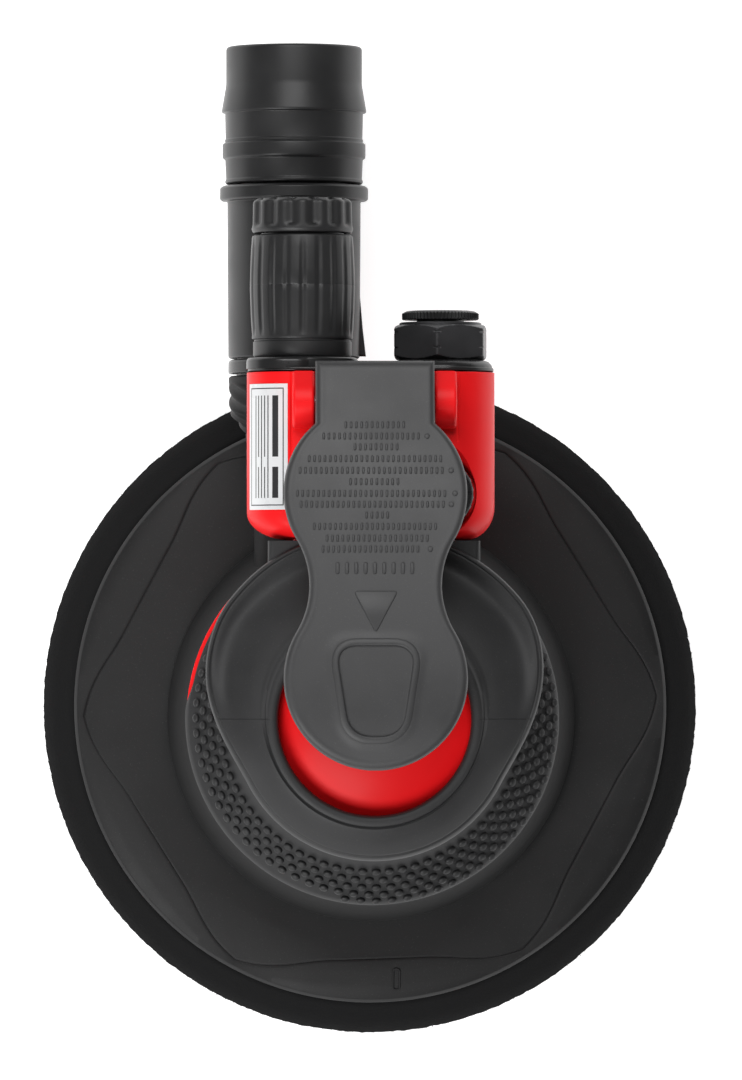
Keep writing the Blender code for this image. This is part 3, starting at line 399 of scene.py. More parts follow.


# The speck amounts below set how much painted glint each finish gets.
RUBBER = finish("grip_rubber", "rubber_grip", (0.024, 0.024, 0.0248), 0.52, 0.42, glint_speck=0.05,
                level=0.4)
SKIRT = finish("grip_rubber", "rubber_skirt", (0.0085, 0.0085, 0.0088), 0.62, glint_speck=0.03, level=0.25)
PLATE = finish("black_plastic", "plastic_pad_plate", (0.0125, 0.0125, 0.0129), 0.52, 0.34, 0.014,
               glint_speck=0.05, level=0.28)
LEVER = finish("black_plastic", "plastic_lever", (0.042, 0.042, 0.0431), 0.46, 0.3, 0.015,
               glint_speck=0.08, patch=22.0, level=0.42)
TUBE_BLACK = finish("black_plastic", "plastic_tube", (0.018, 0.018, 0.0186), 0.40, 0.4, 0.010,
                    level=0.4)
GLOSS_BLACK = finish("black_plastic", "plastic_gloss_black", (0.014, 0.014, 0.0145), 0.30, 0.6,
                     0.008, level=0.45)
FOAM = finish("pad_foam", "foam_cushion", (0.0085, 0.0085, 0.0088), 0.95, 0.22, 0.05, pores=True,
              patch=5.0, level=0.15)
HOOKS = finish("hook_fabric", "hook_fabric", (0.014, 0.014, 0.0143), 0.85, 0.3, 0.05, level=0.2)
RED = finish("red_housing", "red_composite", (0.95, 0.009, 0.012), 0.44, 0.9, 0.006, coat=0.03,
             coat_rough=0.2, tint=0.04, spread=0.04, patch=30.0, level=0.17)
OXIDE = finish("black_oxide", "black_oxide", (0.055, 0.055, 0.058), 0.36, 0.5, 0.008, metal=0.5,
               tint=0.2)
STEEL = finish("steel", "ground_steel", (0.62, 0.62, 0.64), 0.26, 0.3, 0.003, metal=1.0)
ALUMINIUM = finish("aluminium", "turned_aluminium", (0.70, 0.71, 0.72), 0.36, 0.4, 0.004, metal=1.0)
SINTERED = finish("sintered_steel", "sintered_steel", (0.34, 0.34, 0.35), 0.46, 0.25, metal=1.0)
BRASS = finish("brass", "brass", (0.70, 0.49, 0.20), 0.30, 0.4, 0.004, metal=1.0)
RESIN = finish("vane_resin", "vane_resin", (0.15, 0.085, 0.038), 0.58, 0.3, tint=0.3)
FELT = finish("felt", "felt", (0.68, 0.67, 0.62), 0.95, 0.25, 0.12, fuzz=0.4, level=0.2)
LABEL = finish("label", "label_film", (0.74, 0.75, 0.76), 0.30, 1.2, 0.003, coat=0.3, tint=0.02)
INK = finish("label", "label_ink", (0.025, 0.025, 0.027), 0.40, 1.2, 0.003, tint=0.05)

CAD_FINISH = dict([ALUMINIUM, OXIDE, GLOSS_BLACK, BRASS, FELT, RUBBER, HOOKS, LABEL, FOAM, RED,
                   SINTERED, STEEL, RESIN])


def settle(obj, body, look, *nodes):
    """Give a piece its finish, and hang it on the frame in place of its nodes."""
    slot, material = look
    obj.data.materials.clear()
    obj.data.materials.append(material)
    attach(obj, body)
    if nodes:
        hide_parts(*nodes)


# ---- pad
DUST_HOLES = ring_of(40.0, (PAD.x, PAD.y), 6, 30.0)
DUST_HOLE_R = 5.0


def dust_holes(bottom, top):
    return [slab(ring_of(DUST_HOLE_R, at, 40, 2.0), bottom, top) for at in DUST_HOLES]


def rough_edge(size, grain, seed):
    """A shape for lathe() that roughens a radius by a little noise, and the rim's height too."""
    def shape(a, r, h):
        place = Vector((r * cos(a) / grain, r * sin(a) / grain, h / grain + seed))
        step = size * noise.noise(place)
        return (r + step, h) if r < PAD_R - 9.0 else (r + step, h + step * 0.5)
    return shape


def make_foam():
    bottom, top = span("pad_foam", "Z")
    side = soften([(66.6, top, 0.6), (68.4, top - 0.6, 1.0), (73.2, 4.6, 2.0),
                   (PAD_R - 0.1, bottom + 0.2, 0.3), (PAD_R - 1.2, bottom)])
    profile = [(0, top), (20, top), (50, top), (64, top), *dense(side, 0.55), (70, bottom),
               (50, bottom), (20, bottom), (0, bottom)]
    turned = lathe(profile, 420, at=PAD, shape=rough_edge(0.05, 0.7, 3.0))
    foam = build("foam_cushion", [turned], 60.0)
    cut(foam, dust_holes(bottom - 1, top + 1), 60.0)
    settle(foam, "pad", FOAM, "pad_foam")


def hook(x, y, top, size):
    """One stub of the hook face: a stem that spreads to a small flat head."""
    rows = []
    for radius, z in ((0.16, top), (0.12, 0.42), (0.30 * size, 0.22), (0.24 * size, 0.0)):
        rows.append([(x + radius * sx, y + radius * sy, z)
                     for sx, sy in ((1, 0), (0, 1), (-1, 0), (0, -1))])
    return skin(rows, caps=True)


def thread(index, count):
    """A loose thread on the rim of the facing, one of a count round it."""
    a = tau * (index + 0.6 * noise.noise(Vector((index * 0.37, 2.0, 0.0)))) / count
    lean = 0.02 * noise.noise(Vector((index * 0.71, 5.0, 0.0)))
    reach = 0.45 + 0.5 * abs(noise.noise(Vector((index * 0.53, 8.0, 0.0))))
    rows = []
    for share, thick in ((0.0, 0.09), (0.6, 0.07), (1.0, 0.02)):
        turn = a + lean * share
        x, y = polar(turn, PAD_R - 0.4 + reach * share, PAD)
        z = 0.95 - 0.15 * share
        u, v = -sin(turn) * thick, cos(turn) * thick
        rows.append([(x + u, y + v, z), (x, y, z + thick), (x - u, y - v, z), (x, y, z - thick)])
    return skin(rows, caps=True)


def make_facing():
    top = high("hook_facing").z
    web = 0.7
    edge = rough_edge(0.25, 0.5, 9.0)

    def frayed(a, r, h):
        return edge(a, r, h) if r > PAD_R - 0.5 else (r, h)

    profile = [(0, top), (40, top), (PAD_R - 0.7, top), (PAD_R - 0.05, top - 0.15),
               (PAD_R - 0.1, web), (PAD_R - 1.0, web - 0.05), (40, web), (0, web)]
    sheet = build("facing_sheet", [lathe(profile, 540, at=PAD, shape=frayed)], 50.0)
    cut(sheet, dust_holes(-1.0, top + 1), 50.0)
    settle(sheet, "pad", HOOKS, "hook_facing")
    shells = []
    pitch = 1.9
    rows = int(PAD_R / pitch) + 1
    for i in range(-rows, rows + 1):
        for j in range(-rows, rows + 1):
            x = PAD.x + pitch * (i + 0.5 * (j % 2))
            y = PAD.y + pitch * 0.957 * j
            at_hole = min(dist((x, y), hole) for hole in DUST_HOLES) < DUST_HOLE_R + 0.5
            if at_hole or dist((x, y), PAD[:2]) > PAD_R - 0.8:
                continue
            wave = noise.noise(Vector((x * 1.7, y * 1.7, 0.5)))
            shells.append(hook(x + 0.25 * wave, y - 0.25 * wave, web + 0.05, 1.0 + 0.3 * wave))
    threads = 260
    shells += [thread(i, threads) for i in range(threads)]
    settle(build("facing_hooks", shells, 70.0), "pad", HOOKS)


def hexagon_line(a):
    """The radius of the rounded hexagonal line on the backing plate."""
    turn = (degrees(a) - 2.0) % 60.0
    off = abs(turn - 30.0)
    side = 57.6 / cos(radians(off)) + 1.2 * ramp(off, 11.0, 26.0)
    corner = 66.0
    soft = 1.2
    gap = max(0.0, 1.0 - abs(side - corner) / (4 * soft))
    return min(side, corner) - soft * gap * gap


def make_plate():
    bottom, top = span("pad_backing_plate", "Z")
    rim = 67.9
    hub_r, bend_r, edge_r = 18.5, 58.0, rim - 1.0
    hub_z, bend_z, edge_z = 14.6, 13.0, 11.6

    def surface(r):
        if r < bend_r:
            return hub_z - (hub_z - bend_z) * (r - hub_r) / (bend_r - hub_r)
        share = min(1.0, (r - bend_r) / (edge_r - bend_r))
        return bend_z - (bend_z - edge_z) * share ** 1.2

    hub = soften([(6.3, 12.8), (6.3, top, 0.3), (16.0, top, 0.8), (hub_r, hub_z, 0.8),
                  (26.0, surface(26.0))])
    under = [(rim - 0.5, bottom), (60.0, bottom), (40.0, bottom), (14.3, bottom), (14.3, 12.8)]
    count = 900
    turns = turns_of(count)
    flat = [(r, surface(r)) for r in (34.0, 42.0, 46.0, 48.0, 50.0, 52.0, 54.0, 55.5)]
    rows = [[(r, h)] * count for r, h in hub + flat]
    marks = [(-1.0, 0.0), (-0.5, 0.0), (-0.22, 0.02), (-0.16, 0.0), (-0.08, -0.28), (0.08, -0.32),
             (0.18, -0.22), (0.3, -0.16), (0.8, -0.10)]
    for offset, drop in marks:
        rows.append([(hexagon_line(a) + offset, surface(hexagon_line(a) + offset) + drop)
                     for a in turns])
    for share in (0.3, 0.6, 1.0):
        row = []
        for a in turns:
            r = hexagon_line(a) + 0.8
            r += (edge_r - r) * share
            row.append((r, surface(r) - 0.10 * (1 - share)))
        rows.append(row)
    edge = soften([(edge_r, edge_z), (rim - 0.8, edge_z - 0.15, 0.2), (rim, bottom + 0.4, 0.4),
                   (rim - 0.5, bottom)])[1:-1]
    rows += [[(r, h)] * count for r, h in edge + under]
    rings = [[(*polar(a, r, PAD), h) for a, (r, h) in zip(turns, row)] for row in rows]
    plate = build("backing_plate", [skin(rings, loop=True)], 28.0)
    cut(plate, dust_holes(bottom - 1, top + 1), 28.0)
    outer = dense(round_rect((4.9, 6.9), (-62.6, -57.3), 0.9), 0.5, True)
    inner = inset(outer, 0.5)
    rows = [[(u, v, surface(dist((u, v), PAD[:2])) + h) for u, v in line]
            for line, h in ((outer, -1.2), (outer, 0.12), (inset(outer, 0.1), 0.26),
                            (inset(outer, 0.4), 0.26), (inner, 0.12), (inner, -1.2))]
    join(plate, [skin(rows, loop=True)], 28.0)
    settle(plate, "pad", PLATE, "pad_backing_plate")


# ---- dust path
SPOUT = ((-26.6, -6.4), (18.6, 37.6))
SPOUT_END = 62.0
WALL = 1.8


def spout_outline(grow, count=8):
    """The spout's rounded rectangle, grown on every side."""
    x = (SPOUT[0][0] - grow, SPOUT[0][1] + grow)
    z = (SPOUT[1][0] - grow, SPOUT[1][1] + grow)
    return round_rect(x, z, 8.0 + grow, count)


def make_shroud():
    bottom, top = span("dust_shroud", "Z")
    outer_r = high("dust_shroud").x
    outer = soften([(0, top), (40.6, top, 0.8), (41.2, top - 1.6, 0.8), (42.2, 35.0, 3.0),
                    (44.8, 26.0, 4.0), (outer_r - 0.45, bottom + 3.0, 2.0),
                    (outer_r, bottom + 1.9, 0.25), (outer_r, bottom, 0.3), (0, bottom)])
    shroud = build("dust_skirt", [lathe(outer, 240)])
    join(shroud, [slab(spout_outline(0.0), 30.0, SPOUT_END, 0.0, "Y", last_edge=0.5),
                  slab(spout_outline(0.0), 42.0, 47.0, 0.0, "Y")])
    inner = [(0, top + 1), (34.0, top + 1), (34.0, top - WALL), (38.6, top - WALL), (40.4, 34.5),
             (43.0, 25.6), (outer_r - WALL, bottom + 1.4), (outer_r - WALL, bottom - 1),
             (0, bottom - 1)]
    channel = slab(spout_outline(-WALL), 28.0, SPOUT_END + 1, 0.0, "Y")
    cut(shroud, [lathe(soften(inner), 238), channel])
    settle(even(shroud), "housing", SKIRT, "dust_shroud")


def make_sleeve():
    """The ribbed sleeve, from the spout's outline to a circle round the tube's neck."""
    thick = 1.5
    pitch, depth = 3.4, 0.85
    start, end = span("dust_sleeve", "Y")
    oval = dense(spout_outline(GAP, 10), 1.0, True)
    angle = degrees(atan2(oval[0][1] - TUBE.z, oval[0][0] - TUBE.x))
    disc = ring_of(13.3, (TUBE.x, TUBE.z), len(oval), angle)

    def row(y, grow, ribs):
        share = ramp(y, 62.5, 70.0)
        line = [(a[0] + (b[0] - a[0]) * share, a[1] + (b[1] - a[1]) * share)
                for a, b in zip(oval, disc)]
        out = []
        for (x, z), (nx, nz) in zip(inset(line, -grow), inset(line, -grow - 1)):
            lean = y + 0.42 * (z - TUBE.z)
            wave = (0.5 + 0.5 * cos(tau * lean / pitch)) ** 2
            lift = -depth * ribs * (1 - wave)
            out.append((x + (nx - x) * lift, y, z + (nz - z) * lift))
        return out

    rows = [row(y, 0, 0) for y in (end, 72.0, 70.0, 68.0, 66.0, 64.0, 62.5, 58.0, start)]
    rows += [row(start, 1.0, 0), row(start + 0.4, thick, 0)]
    steps = 70
    for i in range(steps + 1):
        y = start + 1.0 + (end - start - 2.0) * i / steps
        ribs = ramp(y, start + 1.5, start + 3.0) * (1 - ramp(y, end - 2.6, end - 1.4))
        rows.append(row(y, thick, ribs))
    rows += [row(end - 0.4, thick, 0), row(end, 1.0, 0)]
    sleeve = build("ribbed_sleeve", [skin(rows, loop=True)], 50.0)
    settle(sleeve, "housing", SKIRT, "dust_sleeve")


def make_tube():
    start, end = span("dust_tube", "Y")
    profile = [(12.6, end), (12.9, end, 0.2), (16.2, end, 0.5), (16.8, end - 0.6, 0.2),
               (16.8, 117.5, 0.2), (16.4, 117.1, 0.1), (15.1, 116.9, 0.3), (14.9, 81.8, 0.2),
               (14.6, 81.4, 0.1), (13.0, 81.4), (13.0, start + 0.4, 0.2), (12.6, start), (11.3, start),
               (11.3, 83.5), (12.6, 85.0), (12.6, 105.4), (13.5, 105.4), (13.5, 107.4), (12.6, 107.4)]
    tube = build("fixed_dust_tube", [lathe(soften(profile, 3), 144, "Y", TUBE)], 30.0)
    fin = [(-7.5, 81.9), (-1.3, 81.9), (-2.0, 88.0), (-2.9, 98.5), (-7.5, 98.5)]
    join(tube, [slab(dense(fin, 1.5, True), 31.6, 34.4, 0.5)], 30.0)
    settle(even(tube), "housing", TUBE_BLACK, "dust_tube")


def make_spigot():
    start, end = span("hose_spigot", "Y")
    profile = [(12.8, end - 0.3, 0.2), (13.1, end, 0.1), (15.0, end, 0.3), (15.4, end - 0.5, 0.3),
               (15.4, 143.4, 0.6), (16.4, 137.5, 0.15), (16.3, 137.1, 0.1), (15.65, 136.9, 0.2),
               (15.5, 131.1, 0.1), (15.7, 130.9, 0.1), (15.6, 130.3, 0.1), (16.2, 130.0, 0.3),
               (16.2, 126.8, 0.4), (15.6, 126.4, 0.2), (15.4, 122.0, 0.2), (15.6, 121.7, 0.1),
               (15.6, 121.2, 0.1), (15.3, 120.9, 0.1), (12.2, 120.9), (12.2, 107.5), (11.3, 107.5),
               (11.3, 105.3), (12.2, 105.3), (12.2, start + 0.3, 0.2), (11.9, start), (10.4, start),
               (10.4, 121.0, 1.0), (12.8, 124.0, 1.0)]
    spigot = build("swivel_spigot", [lathe(soften(profile, 3), 160, "Y", TUBE)], 30.0)
    settle(spigot, "spigot", TUBE_BLACK, "hose_spigot")


# ---- housing
BLOCK_LEFT, BLOCK_RIGHT = -28.3, 27.0
BLOCK_FRONT, BLOCK_REAR = 39.9, 77.2
BLOCK_LOW, BLOCK_HIGH = 50.0, 77.0
TOP_ROUND, LOW_ROUND = 12.0, 5.0
DRUM_R = 26.5
DOME_BASE, DOME_TOP = 72.0, 84.5
HALF_GAP = 13.3
LUG_OUT = 18.2
EXHAUST_X, FEED_X = -10.0, 10.0
SCREW_X = -1.0
SCREW_HEIGHTS = (56.0, 69.5)
PIN_BORE = slab(ring_of(1.8, (PIN.y, PIN.z), 32), -20, 20, 0, "X")


def corner(width, depth, distance):
    """How far an elliptical corner pulls a side in, at a distance behind the front."""
    if distance >= depth:
        return 0.0
    return width * (1 - sqrt(max(0.0, 1 - ((depth - distance) / depth) ** 2)))


def block_rows():
    """The valve block's sections, from its rounded front to its rear."""
    backs = [0.0, 0.06, 0.2, 0.4, 0.7, 1.1, 1.6, 2.2, 2.9, 3.7, 4.5, 5.3, 6.2, 6.8, 7.4, 12.0, 20.0,
             28.0, 34.0, 36.6, 37.1, 37.3]
    rows = []
    for back in backs:
        left = BLOCK_LEFT + corner(10.0, 6.2, back)
        right = BLOCK_RIGHT - corner(6.5, 7.4, back)
        drop = corner(3.0, 3.2, back) + 0.4 * ramp(back, 36.6, 37.4)
        top = TOP_ROUND - 0.6 * drop
        line = round_rect((left, right), (BLOCK_LOW + drop, BLOCK_HIGH - drop),
                          (LOW_ROUND, LOW_ROUND, top, top), 16)
        rows.append([(x, BLOCK_FRONT + back, z) for x, z in line])
    return rows


def lug_outline():
    """The side of a pivot lug: round over the pin, sloped in front and cut off at the rear."""
    radius = 6.0
    points = [(BLOCK_REAR, 71.0), (BLOCK_REAR, PIN.z + 2.2)]
    for k in range(17):
        points.append(polar(radians(52 + 163 * k / 16), radius, (PIN.y, PIN.z)))
    points += [(PIN.y - 4.6, 73.2), (PIN.y - 4.4, 71.0)]
    return dense(points, 2.5, True)


def make_housing():
    bottom = low("motor_housing").z
    flange_r = 41.9
    profile = [(0.0, DOME_TOP)]
    for k in reversed(range(20)):
        a = pi / 2 * k / 20
        profile.append((DRUM_R * cos(a), DOME_BASE + (DOME_TOP - DOME_BASE) * sin(a)))
    profile += soften([(DRUM_R, 60.0), (DRUM_R, 45.0, 1.0), (29.5, 42.0, 1.0), (flange_r, 42.0, 0.3),
                       (flange_r, bottom + 0.5, 0.3), (flange_r - 0.6, bottom)])
    profile.append((0, bottom))
    housing = build("housing_shell", [lathe(profile, 192)])
    parts = [slab(round_rect((-18, 18), (53, 72), 1.5), 15, 46, 0, "Y"),
             skin(block_rows(), caps=True),
             slab(lug_outline(), -LUG_OUT, -HALF_GAP, 0.7, "X"),
             slab(lug_outline(), HALF_GAP, LUG_OUT, 0.7, "X")]
    join(housing, parts)
    cavity = [(0, 80.9), (13.8, 80.9), (13.8, 74.3), (23.3, 74.3), (23.3, 45.7), (24.5, 45.7),
              (24.5, bottom - 1), (0, bottom - 1)]
    well = soften([(0, 90), (11.2, 90), (11.2, 76.9, 0.3), (10.7, 76.5, 0.3), (8.5, 75.0, 0.5),
                   (8.1, 74.0, 0.3), (8.0, 71.0), (6.0, 71.0), (6.0, 56.4), (0, 56.4)])
    clip = [(0, 70.4), (7.3, 70.4), (7.3, 69), (0, 69)]
    pocket = round_rect((-HALF_GAP, HALF_GAP), (63.5, 79.0), (1.0, 1.0, 0.3, 0.3))
    exhaust = [bore(MUFFLER.x, INLET.z, 7.6, 50, 79), bore(EXHAUST_X, INLET.z, 5.0, 16, 55, 32)]
    inlet = [bore(INLET.x, INLET.z, 8.2, 65.2, 79), bore(INLET.x, INLET.z, 6.0, 61.2, 66, 36),
             bore(INLET.x, INLET.z, 4.5, 50, 62, 32), bore(FEED_X, INLET.z, 3.4, 16, 50, 28)]
    cuts = [lathe(cavity, 120), *exhaust, *inlet]
    cuts += [bore(SCREW_X, z, 2.2, 66, 79, 20) for z in SCREW_HEIGHTS]
    cuts += [lathe(well, 96, at=KNOB), lathe(clip, 48, at=KNOB), slab(pocket, 73.4, 90.0), PIN_BORE]
    near, far = LUG_OUT + 0.05, LUG_OUT + 0.6
    for x, front in (((-far, -near), 56.5), ((near, far), 61.5)):
        cuts.append(slab(round_rect(x, (front, 79), 0.25), 75.9, 79.0))
    cut(housing, cuts)
    settle(even(housing), "housing", RED, "motor_housing")


# ---- palm grip
FOOT = [(42.2, 42.4), (41.5, 43.6), (37.8, 46.5), (33.2, 50.5), (30.2, 55.0)]
HEAD_FRONT = [(29.4, 59.5), (29.6, 64.0), (30.3, 69.0), (31.2, 73.0), (31.6, 75.8), (31.2, 77.6),
              (29.8, 79.2), (27.6, 81.3), (25.4, 83.0), (24.2, 83.7), (23.4, 84.0)]
HEAD_REAR = [(29.6, 58.5), (31.8, 62.5), (36.0, 66.5), (40.4, 70.0), (42.1, 73.0), (41.8, 75.0),
             (40.3, 74.9), (36.6, 74.6), (30.5, 78.2), (25.0, 83.0), (23.4, 84.0)]
LEVEL_STEPS = [3, 8, 8, 8, 8, 6, 6, 6, 6, 6, 10, 10, 10, 8, 4]
FOOT_END, SEAM_START, HEAD_START = 44.0, 56.0, 60.0
HOLE_R = 21.4
SEAM = 0.003


def head_share(a):
    """How much of the wide rear head there is at an angle: none in front, all beside the block."""
    turn = degrees(a + pi / 2) % 360.0
    return ramp(min(turn, 360.0 - turn), 62.0, 130.0)


def left_rear(a, start, full, late, end):
    """How much of the left rear flank's trim there is at an angle."""
    turn = degrees(a) % 360.0
    return ramp(turn, start, full) * (1 - ramp(turn, late, end))


def make_grip():
    front = curve(FOOT + HEAD_FRONT, LEVEL_STEPS)
    rear = curve(FOOT + HEAD_REAR, LEVEL_STEPS)
    rim = sum(LEVEL_STEPS[:10])
    ring = sum(LEVEL_STEPS[:14])
    grooves = {rim + 5: 0.10, rim + 6: 0.20, rim + 7: 0.10, rim - 7: 0.10, rim - 6: 0.16,
               ring - 1: 0.25, ring: 0.45, ring + 1: 0.20}
    inside = [(22.9, 84.12), (22.2, 84.1), (21.7, 83.8), (HOLE_R, 83.2), (HOLE_R, 80.0)]
    side, rise = DRUM_R + GAP, 12.8
    for k in range(1, 8):
        r = HOLE_R + (side - HOLE_R) * sin(pi / 2 * k / 7)
        inside.append((r, DOME_BASE + rise * sqrt(max(0.0, 1 - (r / side) ** 2))))
    inside += [(side, 60.0), (side, 45.3), (29.8, 42.3)]
    turns = turns_of(320)
    for seam in (0.0, pi):
        turns += [seam + step * SEAM for step in (-2, -1, 1, 2)]
    turns = sorted({round(a % tau, 6) for a in turns})
    rows = []
    for index, (near, far) in enumerate(zip(front, rear)):
        dip = grooves.get(index, 0.0)
        row = []
        for a in turns:
            share = head_share(a)
            r = near[0] + (far[0] - near[0]) * share
            z = near[1] + (far[1] - near[1]) * share
            if z > HEAD_START:
                r -= 0.5 * left_rear(a, 118.0, 146.0, 150.0, 176.0) * ramp(r, 36.0, 41.0)
            if z < FOOT_END:
                r = min(r, FOOT[0][0] - 1.1 * left_rear(a, 122.0, 132.0, 168.0, 178.0))
            seam = min(abs(sin(a)) / 0.0025, 1.0)
            dent = dip + (0.10 * (1 - seam) if z > SEAM_START else 0.0)
            row.append((*polar(a, r - 0.4 * dent), z - dent))
        rows.append(row)
    for r, z in inside:
        rows.append([(*polar(a, r), z) for a in turns])
    grip = build("grip_sleeve", [skin(rows, loop=True)], 40.0)
    join(grip, [slab(round_rect((-23.6, 23.6), (18, 41), (3, 3, 1, 1)), 50, 74, 1.2)], 40.0)
    drum = [(0, 83), (HOLE_R - 0.05, 83), (HOLE_R - 0.05, 78.0), (side - 0.05, 74.0),
            (side - 0.05, 46.0), (0, 46.0)]
    cut(grip, [slab(round_rect((-18.3, 18.3), (52.7, 72.3), 1.5), 14, 48, 0, "Y"),
               slab(round_rect((-50, 50), (39.6, 60), 0.1), 44, 92), lathe(drum, 160)], 40.0)
    settle(even(grip), "housing", RUBBER, "palm_grip")


def foot_height(r):
    """The height and the slope of the flared foot at a radius."""
    line = curve(FOOT, LEVEL_STEPS[:4])
    for (r0, z0), (r1, z1) in zip(line, line[1:]):
        if r1 <= r <= r0:
            return z0 + (z1 - z0) * (r0 - r) / (r0 - r1), atan2(z1 - z0, r0 - r1)
    return line[0][1], 0.0


def nub(a, r):
    """A low button on the flared foot, lying in its slope."""
    z, slope = foot_height(r)
    rows = []
    for wide, lift in ((1.0, -0.25), (1.0, 0.30), (0.92, 0.55), (0.70, 0.72), (0.36, 0.80)):
        row = []
        for t in turns_of(16):
            across = 1.04 * wide * cos(t)
            inward = 0.84 * wide * sin(t)
            rr = r - inward * cos(slope) + lift * sin(slope)
            zz = z + inward * sin(slope) + lift * cos(slope)
            row.append((rr * cos(a) - across * sin(a), rr * sin(a) + across * cos(a), zz))
        rows.append(row)
    return skin(rows, caps=True)


def make_nubs():
    shells = []
    around = 73
    for line, r in enumerate((34.4, 36.3, 38.0, 39.6, 41.1)):
        for i in range(around):
            a = tau * (i + 0.5 * (line % 2)) / around
            if r * sin(a) < 17.0 and (r < 41 or cos(a) > -0.2):
                shells.append(nub(a, r))
    settle(build("grip_nubs", shells, 50.0), "housing", RUBBER)


# ---- lever
LOBE_R = 20.25
REAR_LOBE, FRONT_LOBE = 50.0, 9.0
WAIST = 14.6
REAR_HALF = 13.2
THICK = 3.6
CREST_Y = 2.0
REAR_TOP = 86.5
TIP_DROP = 1.9


def lever_half(y):
    """Half the lever's width: two round lobes joined by a waist, with a straight rear."""
    gap = (REAR_LOBE - FRONT_LOBE) / 2
    waist_y = FRONT_LOBE + gap
    fillet = (WAIST ** 2 + gap ** 2 - LOBE_R ** 2) / (2 * (LOBE_R - WAIST))
    blend = gap * fillet / (LOBE_R + fillet)
    if abs(y - waist_y) < blend:
        return WAIST + fillet - sqrt(fillet ** 2 - (y - waist_y) ** 2)
    lobe_y = REAR_LOBE if y > waist_y else FRONT_LOBE
    half = sqrt(max(0.0, LOBE_R ** 2 - (y - lobe_y) ** 2))
    return max(half, REAR_HALF) if y > REAR_LOBE else half


def lever_top(y):
    """The height of the lever's top, which rises from the rear to its crest."""
    if y > CREST_Y:
        share = (y - CREST_Y) / (LEVER_REAR - CREST_Y)
        return LEVER_CREST - (LEVER_CREST - REAR_TOP) * share ** 1.6
    return LEVER_CREST - TIP_DROP * ((CREST_Y - y) / (CREST_Y - LEVER_TIP)) ** 2


def edge_distance(x, y):
    """About how far a point of the lever is inside its outline."""
    if y < FRONT_LOBE:
        return LOBE_R - hypot(x, y - FRONT_LOBE)
    return min(lever_half(y) - abs(x), LEVER_REAR - y)


THUMB_Y = (-3.8, 16.3)
THUMB_HALF = (5.7, 8.8)
THUMB_R = 3.2


def thumb_half(y):
    low_y, high_y = THUMB_Y
    return THUMB_HALF[0] + (THUMB_HALF[1] - THUMB_HALF[0]) * (y - low_y) / (high_y - low_y)


def thumb_distance(x, y):
    """How far a point is outside the thumb rest, or minus how far inside."""
    centre = (THUMB_Y[0] + THUMB_Y[1]) / 2
    u = abs(x) - thumb_half(y) + THUMB_R
    v = abs(y - centre) - (THUMB_Y[1] - THUMB_Y[0]) / 2 + THUMB_R
    return hypot(max(u, 0.0), max(v, 0.0)) + min(max(u, v), 0.0) - THUMB_R


def thumb_frame():
    """The crisp raised frame round the thumb rest, following the lever's top."""
    corners = [(side * thumb_half(y), y, THUMB_R * 1.6)
               for side, y in zip((-1, 1, 1, -1), sorted(THUMB_Y * 2))]
    line = dense(soften(corners, 12, True), 0.5, True)
    rows = []
    for out, z in ((2.0, -0.6), (1.9, 0.02), (1.5, 0.26), (1.2, 0.40), (0.5, 0.44), (0.15, 0.40),
                   (0.02, 0.28), (-0.05, -0.6)):
        rows.append([(x, y, lever_top(y) + z) for x, y in inset(line, -out)])
    return skin(rows, loop=True)


def lever_relief(x, y):
    """The hollow of the thumb rest, the swell round it, and the rolled edge."""
    away = max(0.0, edge_distance(x, y))
    roll = 1.3
    drop = roll - sqrt(roll ** 2 - (roll - away) ** 2) if away < roll else 0.0
    bead = 0.04 * exp(-((away - 1.6) / 0.45) ** 2)
    swell = 0.22 * exp(-(max(thumb_distance(x, y) - 1.2, 0.0) / 1.3) ** 2)
    return bead + swell - 0.40 * ramp(-thumb_distance(x, y), -1.0, 0.2) - drop


def make_lever():
    stations = [FRONT_LOBE - LOBE_R * cos(radians(4 + 52 * k / 60)) for k in range(61)]
    while stations[-1] < LEVER_REAR - 2.0:
        stations.append(stations[-1] + 0.36)
    stations += [LEVER_REAR - step for step in (1.5, 1.1, 0.8, 0.5, 0.3, 0.12, 0.0)]
    across = [-1 + 2 * k / 132 for k in range(133)]
    across = [0.3 * sin(s * pi / 2) + 0.7 * s for s in across]
    below = [1 - 2 * k / 24 for k in range(25)]
    rows = []
    for y in stations:
        half = lever_half(y)
        top = lever_top(y)
        under = top - THICK
        lift = 0.8 * (1 - max(0.0, min(edge_distance(0, y), 1.0))) ** 2
        ring = [(half * s, y, top + lever_relief(half * s, y)) for s in across]
        side_top = ring[0][2]
        flank = [side_top + (under + 0.8 - side_top) * k / 3 for k in (1, 2, 3)]
        ring += [(half, y, z) for z in flank]
        ring += [(half * s * 0.98, y, under + lift) for s in below]
        ring += [(-half, y, z) for z in reversed(flank)]
        rows.append(ring)
    lever = build("lever_paddle", [skin(rows, caps=True)], 40.0)
    side = REAR_HALF - 0.3
    web = dense(round_rect((66.8, 74.6), (78.0, 86.0), 1.0), 2.0, True)
    join(lever, [slab(web, -side, side, 0.5, "X"),
                 slab(ring_of(4.4, (PIN.y, PIN.z), 48), -side, side, 0.5, "X"),
                 slab(ring_of(3.6, (KNOB.x, KNOB.y), 40), 87.9, 93.0, 0.4)], 40.0)
    cut(lever, [PIN_BORE], 40.0)
    settle(lever, "lever", LEVER, "throttle_lever")
    settle(build("lever_treads", lever_treads(), 50.0), "lever", LEVER)


def raised(outline, lift):
    """A low raised shape that follows the lever's top."""
    edge = 0.12
    rows = []
    for depth, z in ((0.0, -0.5), (0.0, lift - edge), (edge * 0.35, lift - edge * 0.3), (edge, lift)):
        rows.append([(x, y, lever_top(y) + z) for x, y in inset(outline, depth)])
    return skin(rows, caps=True)


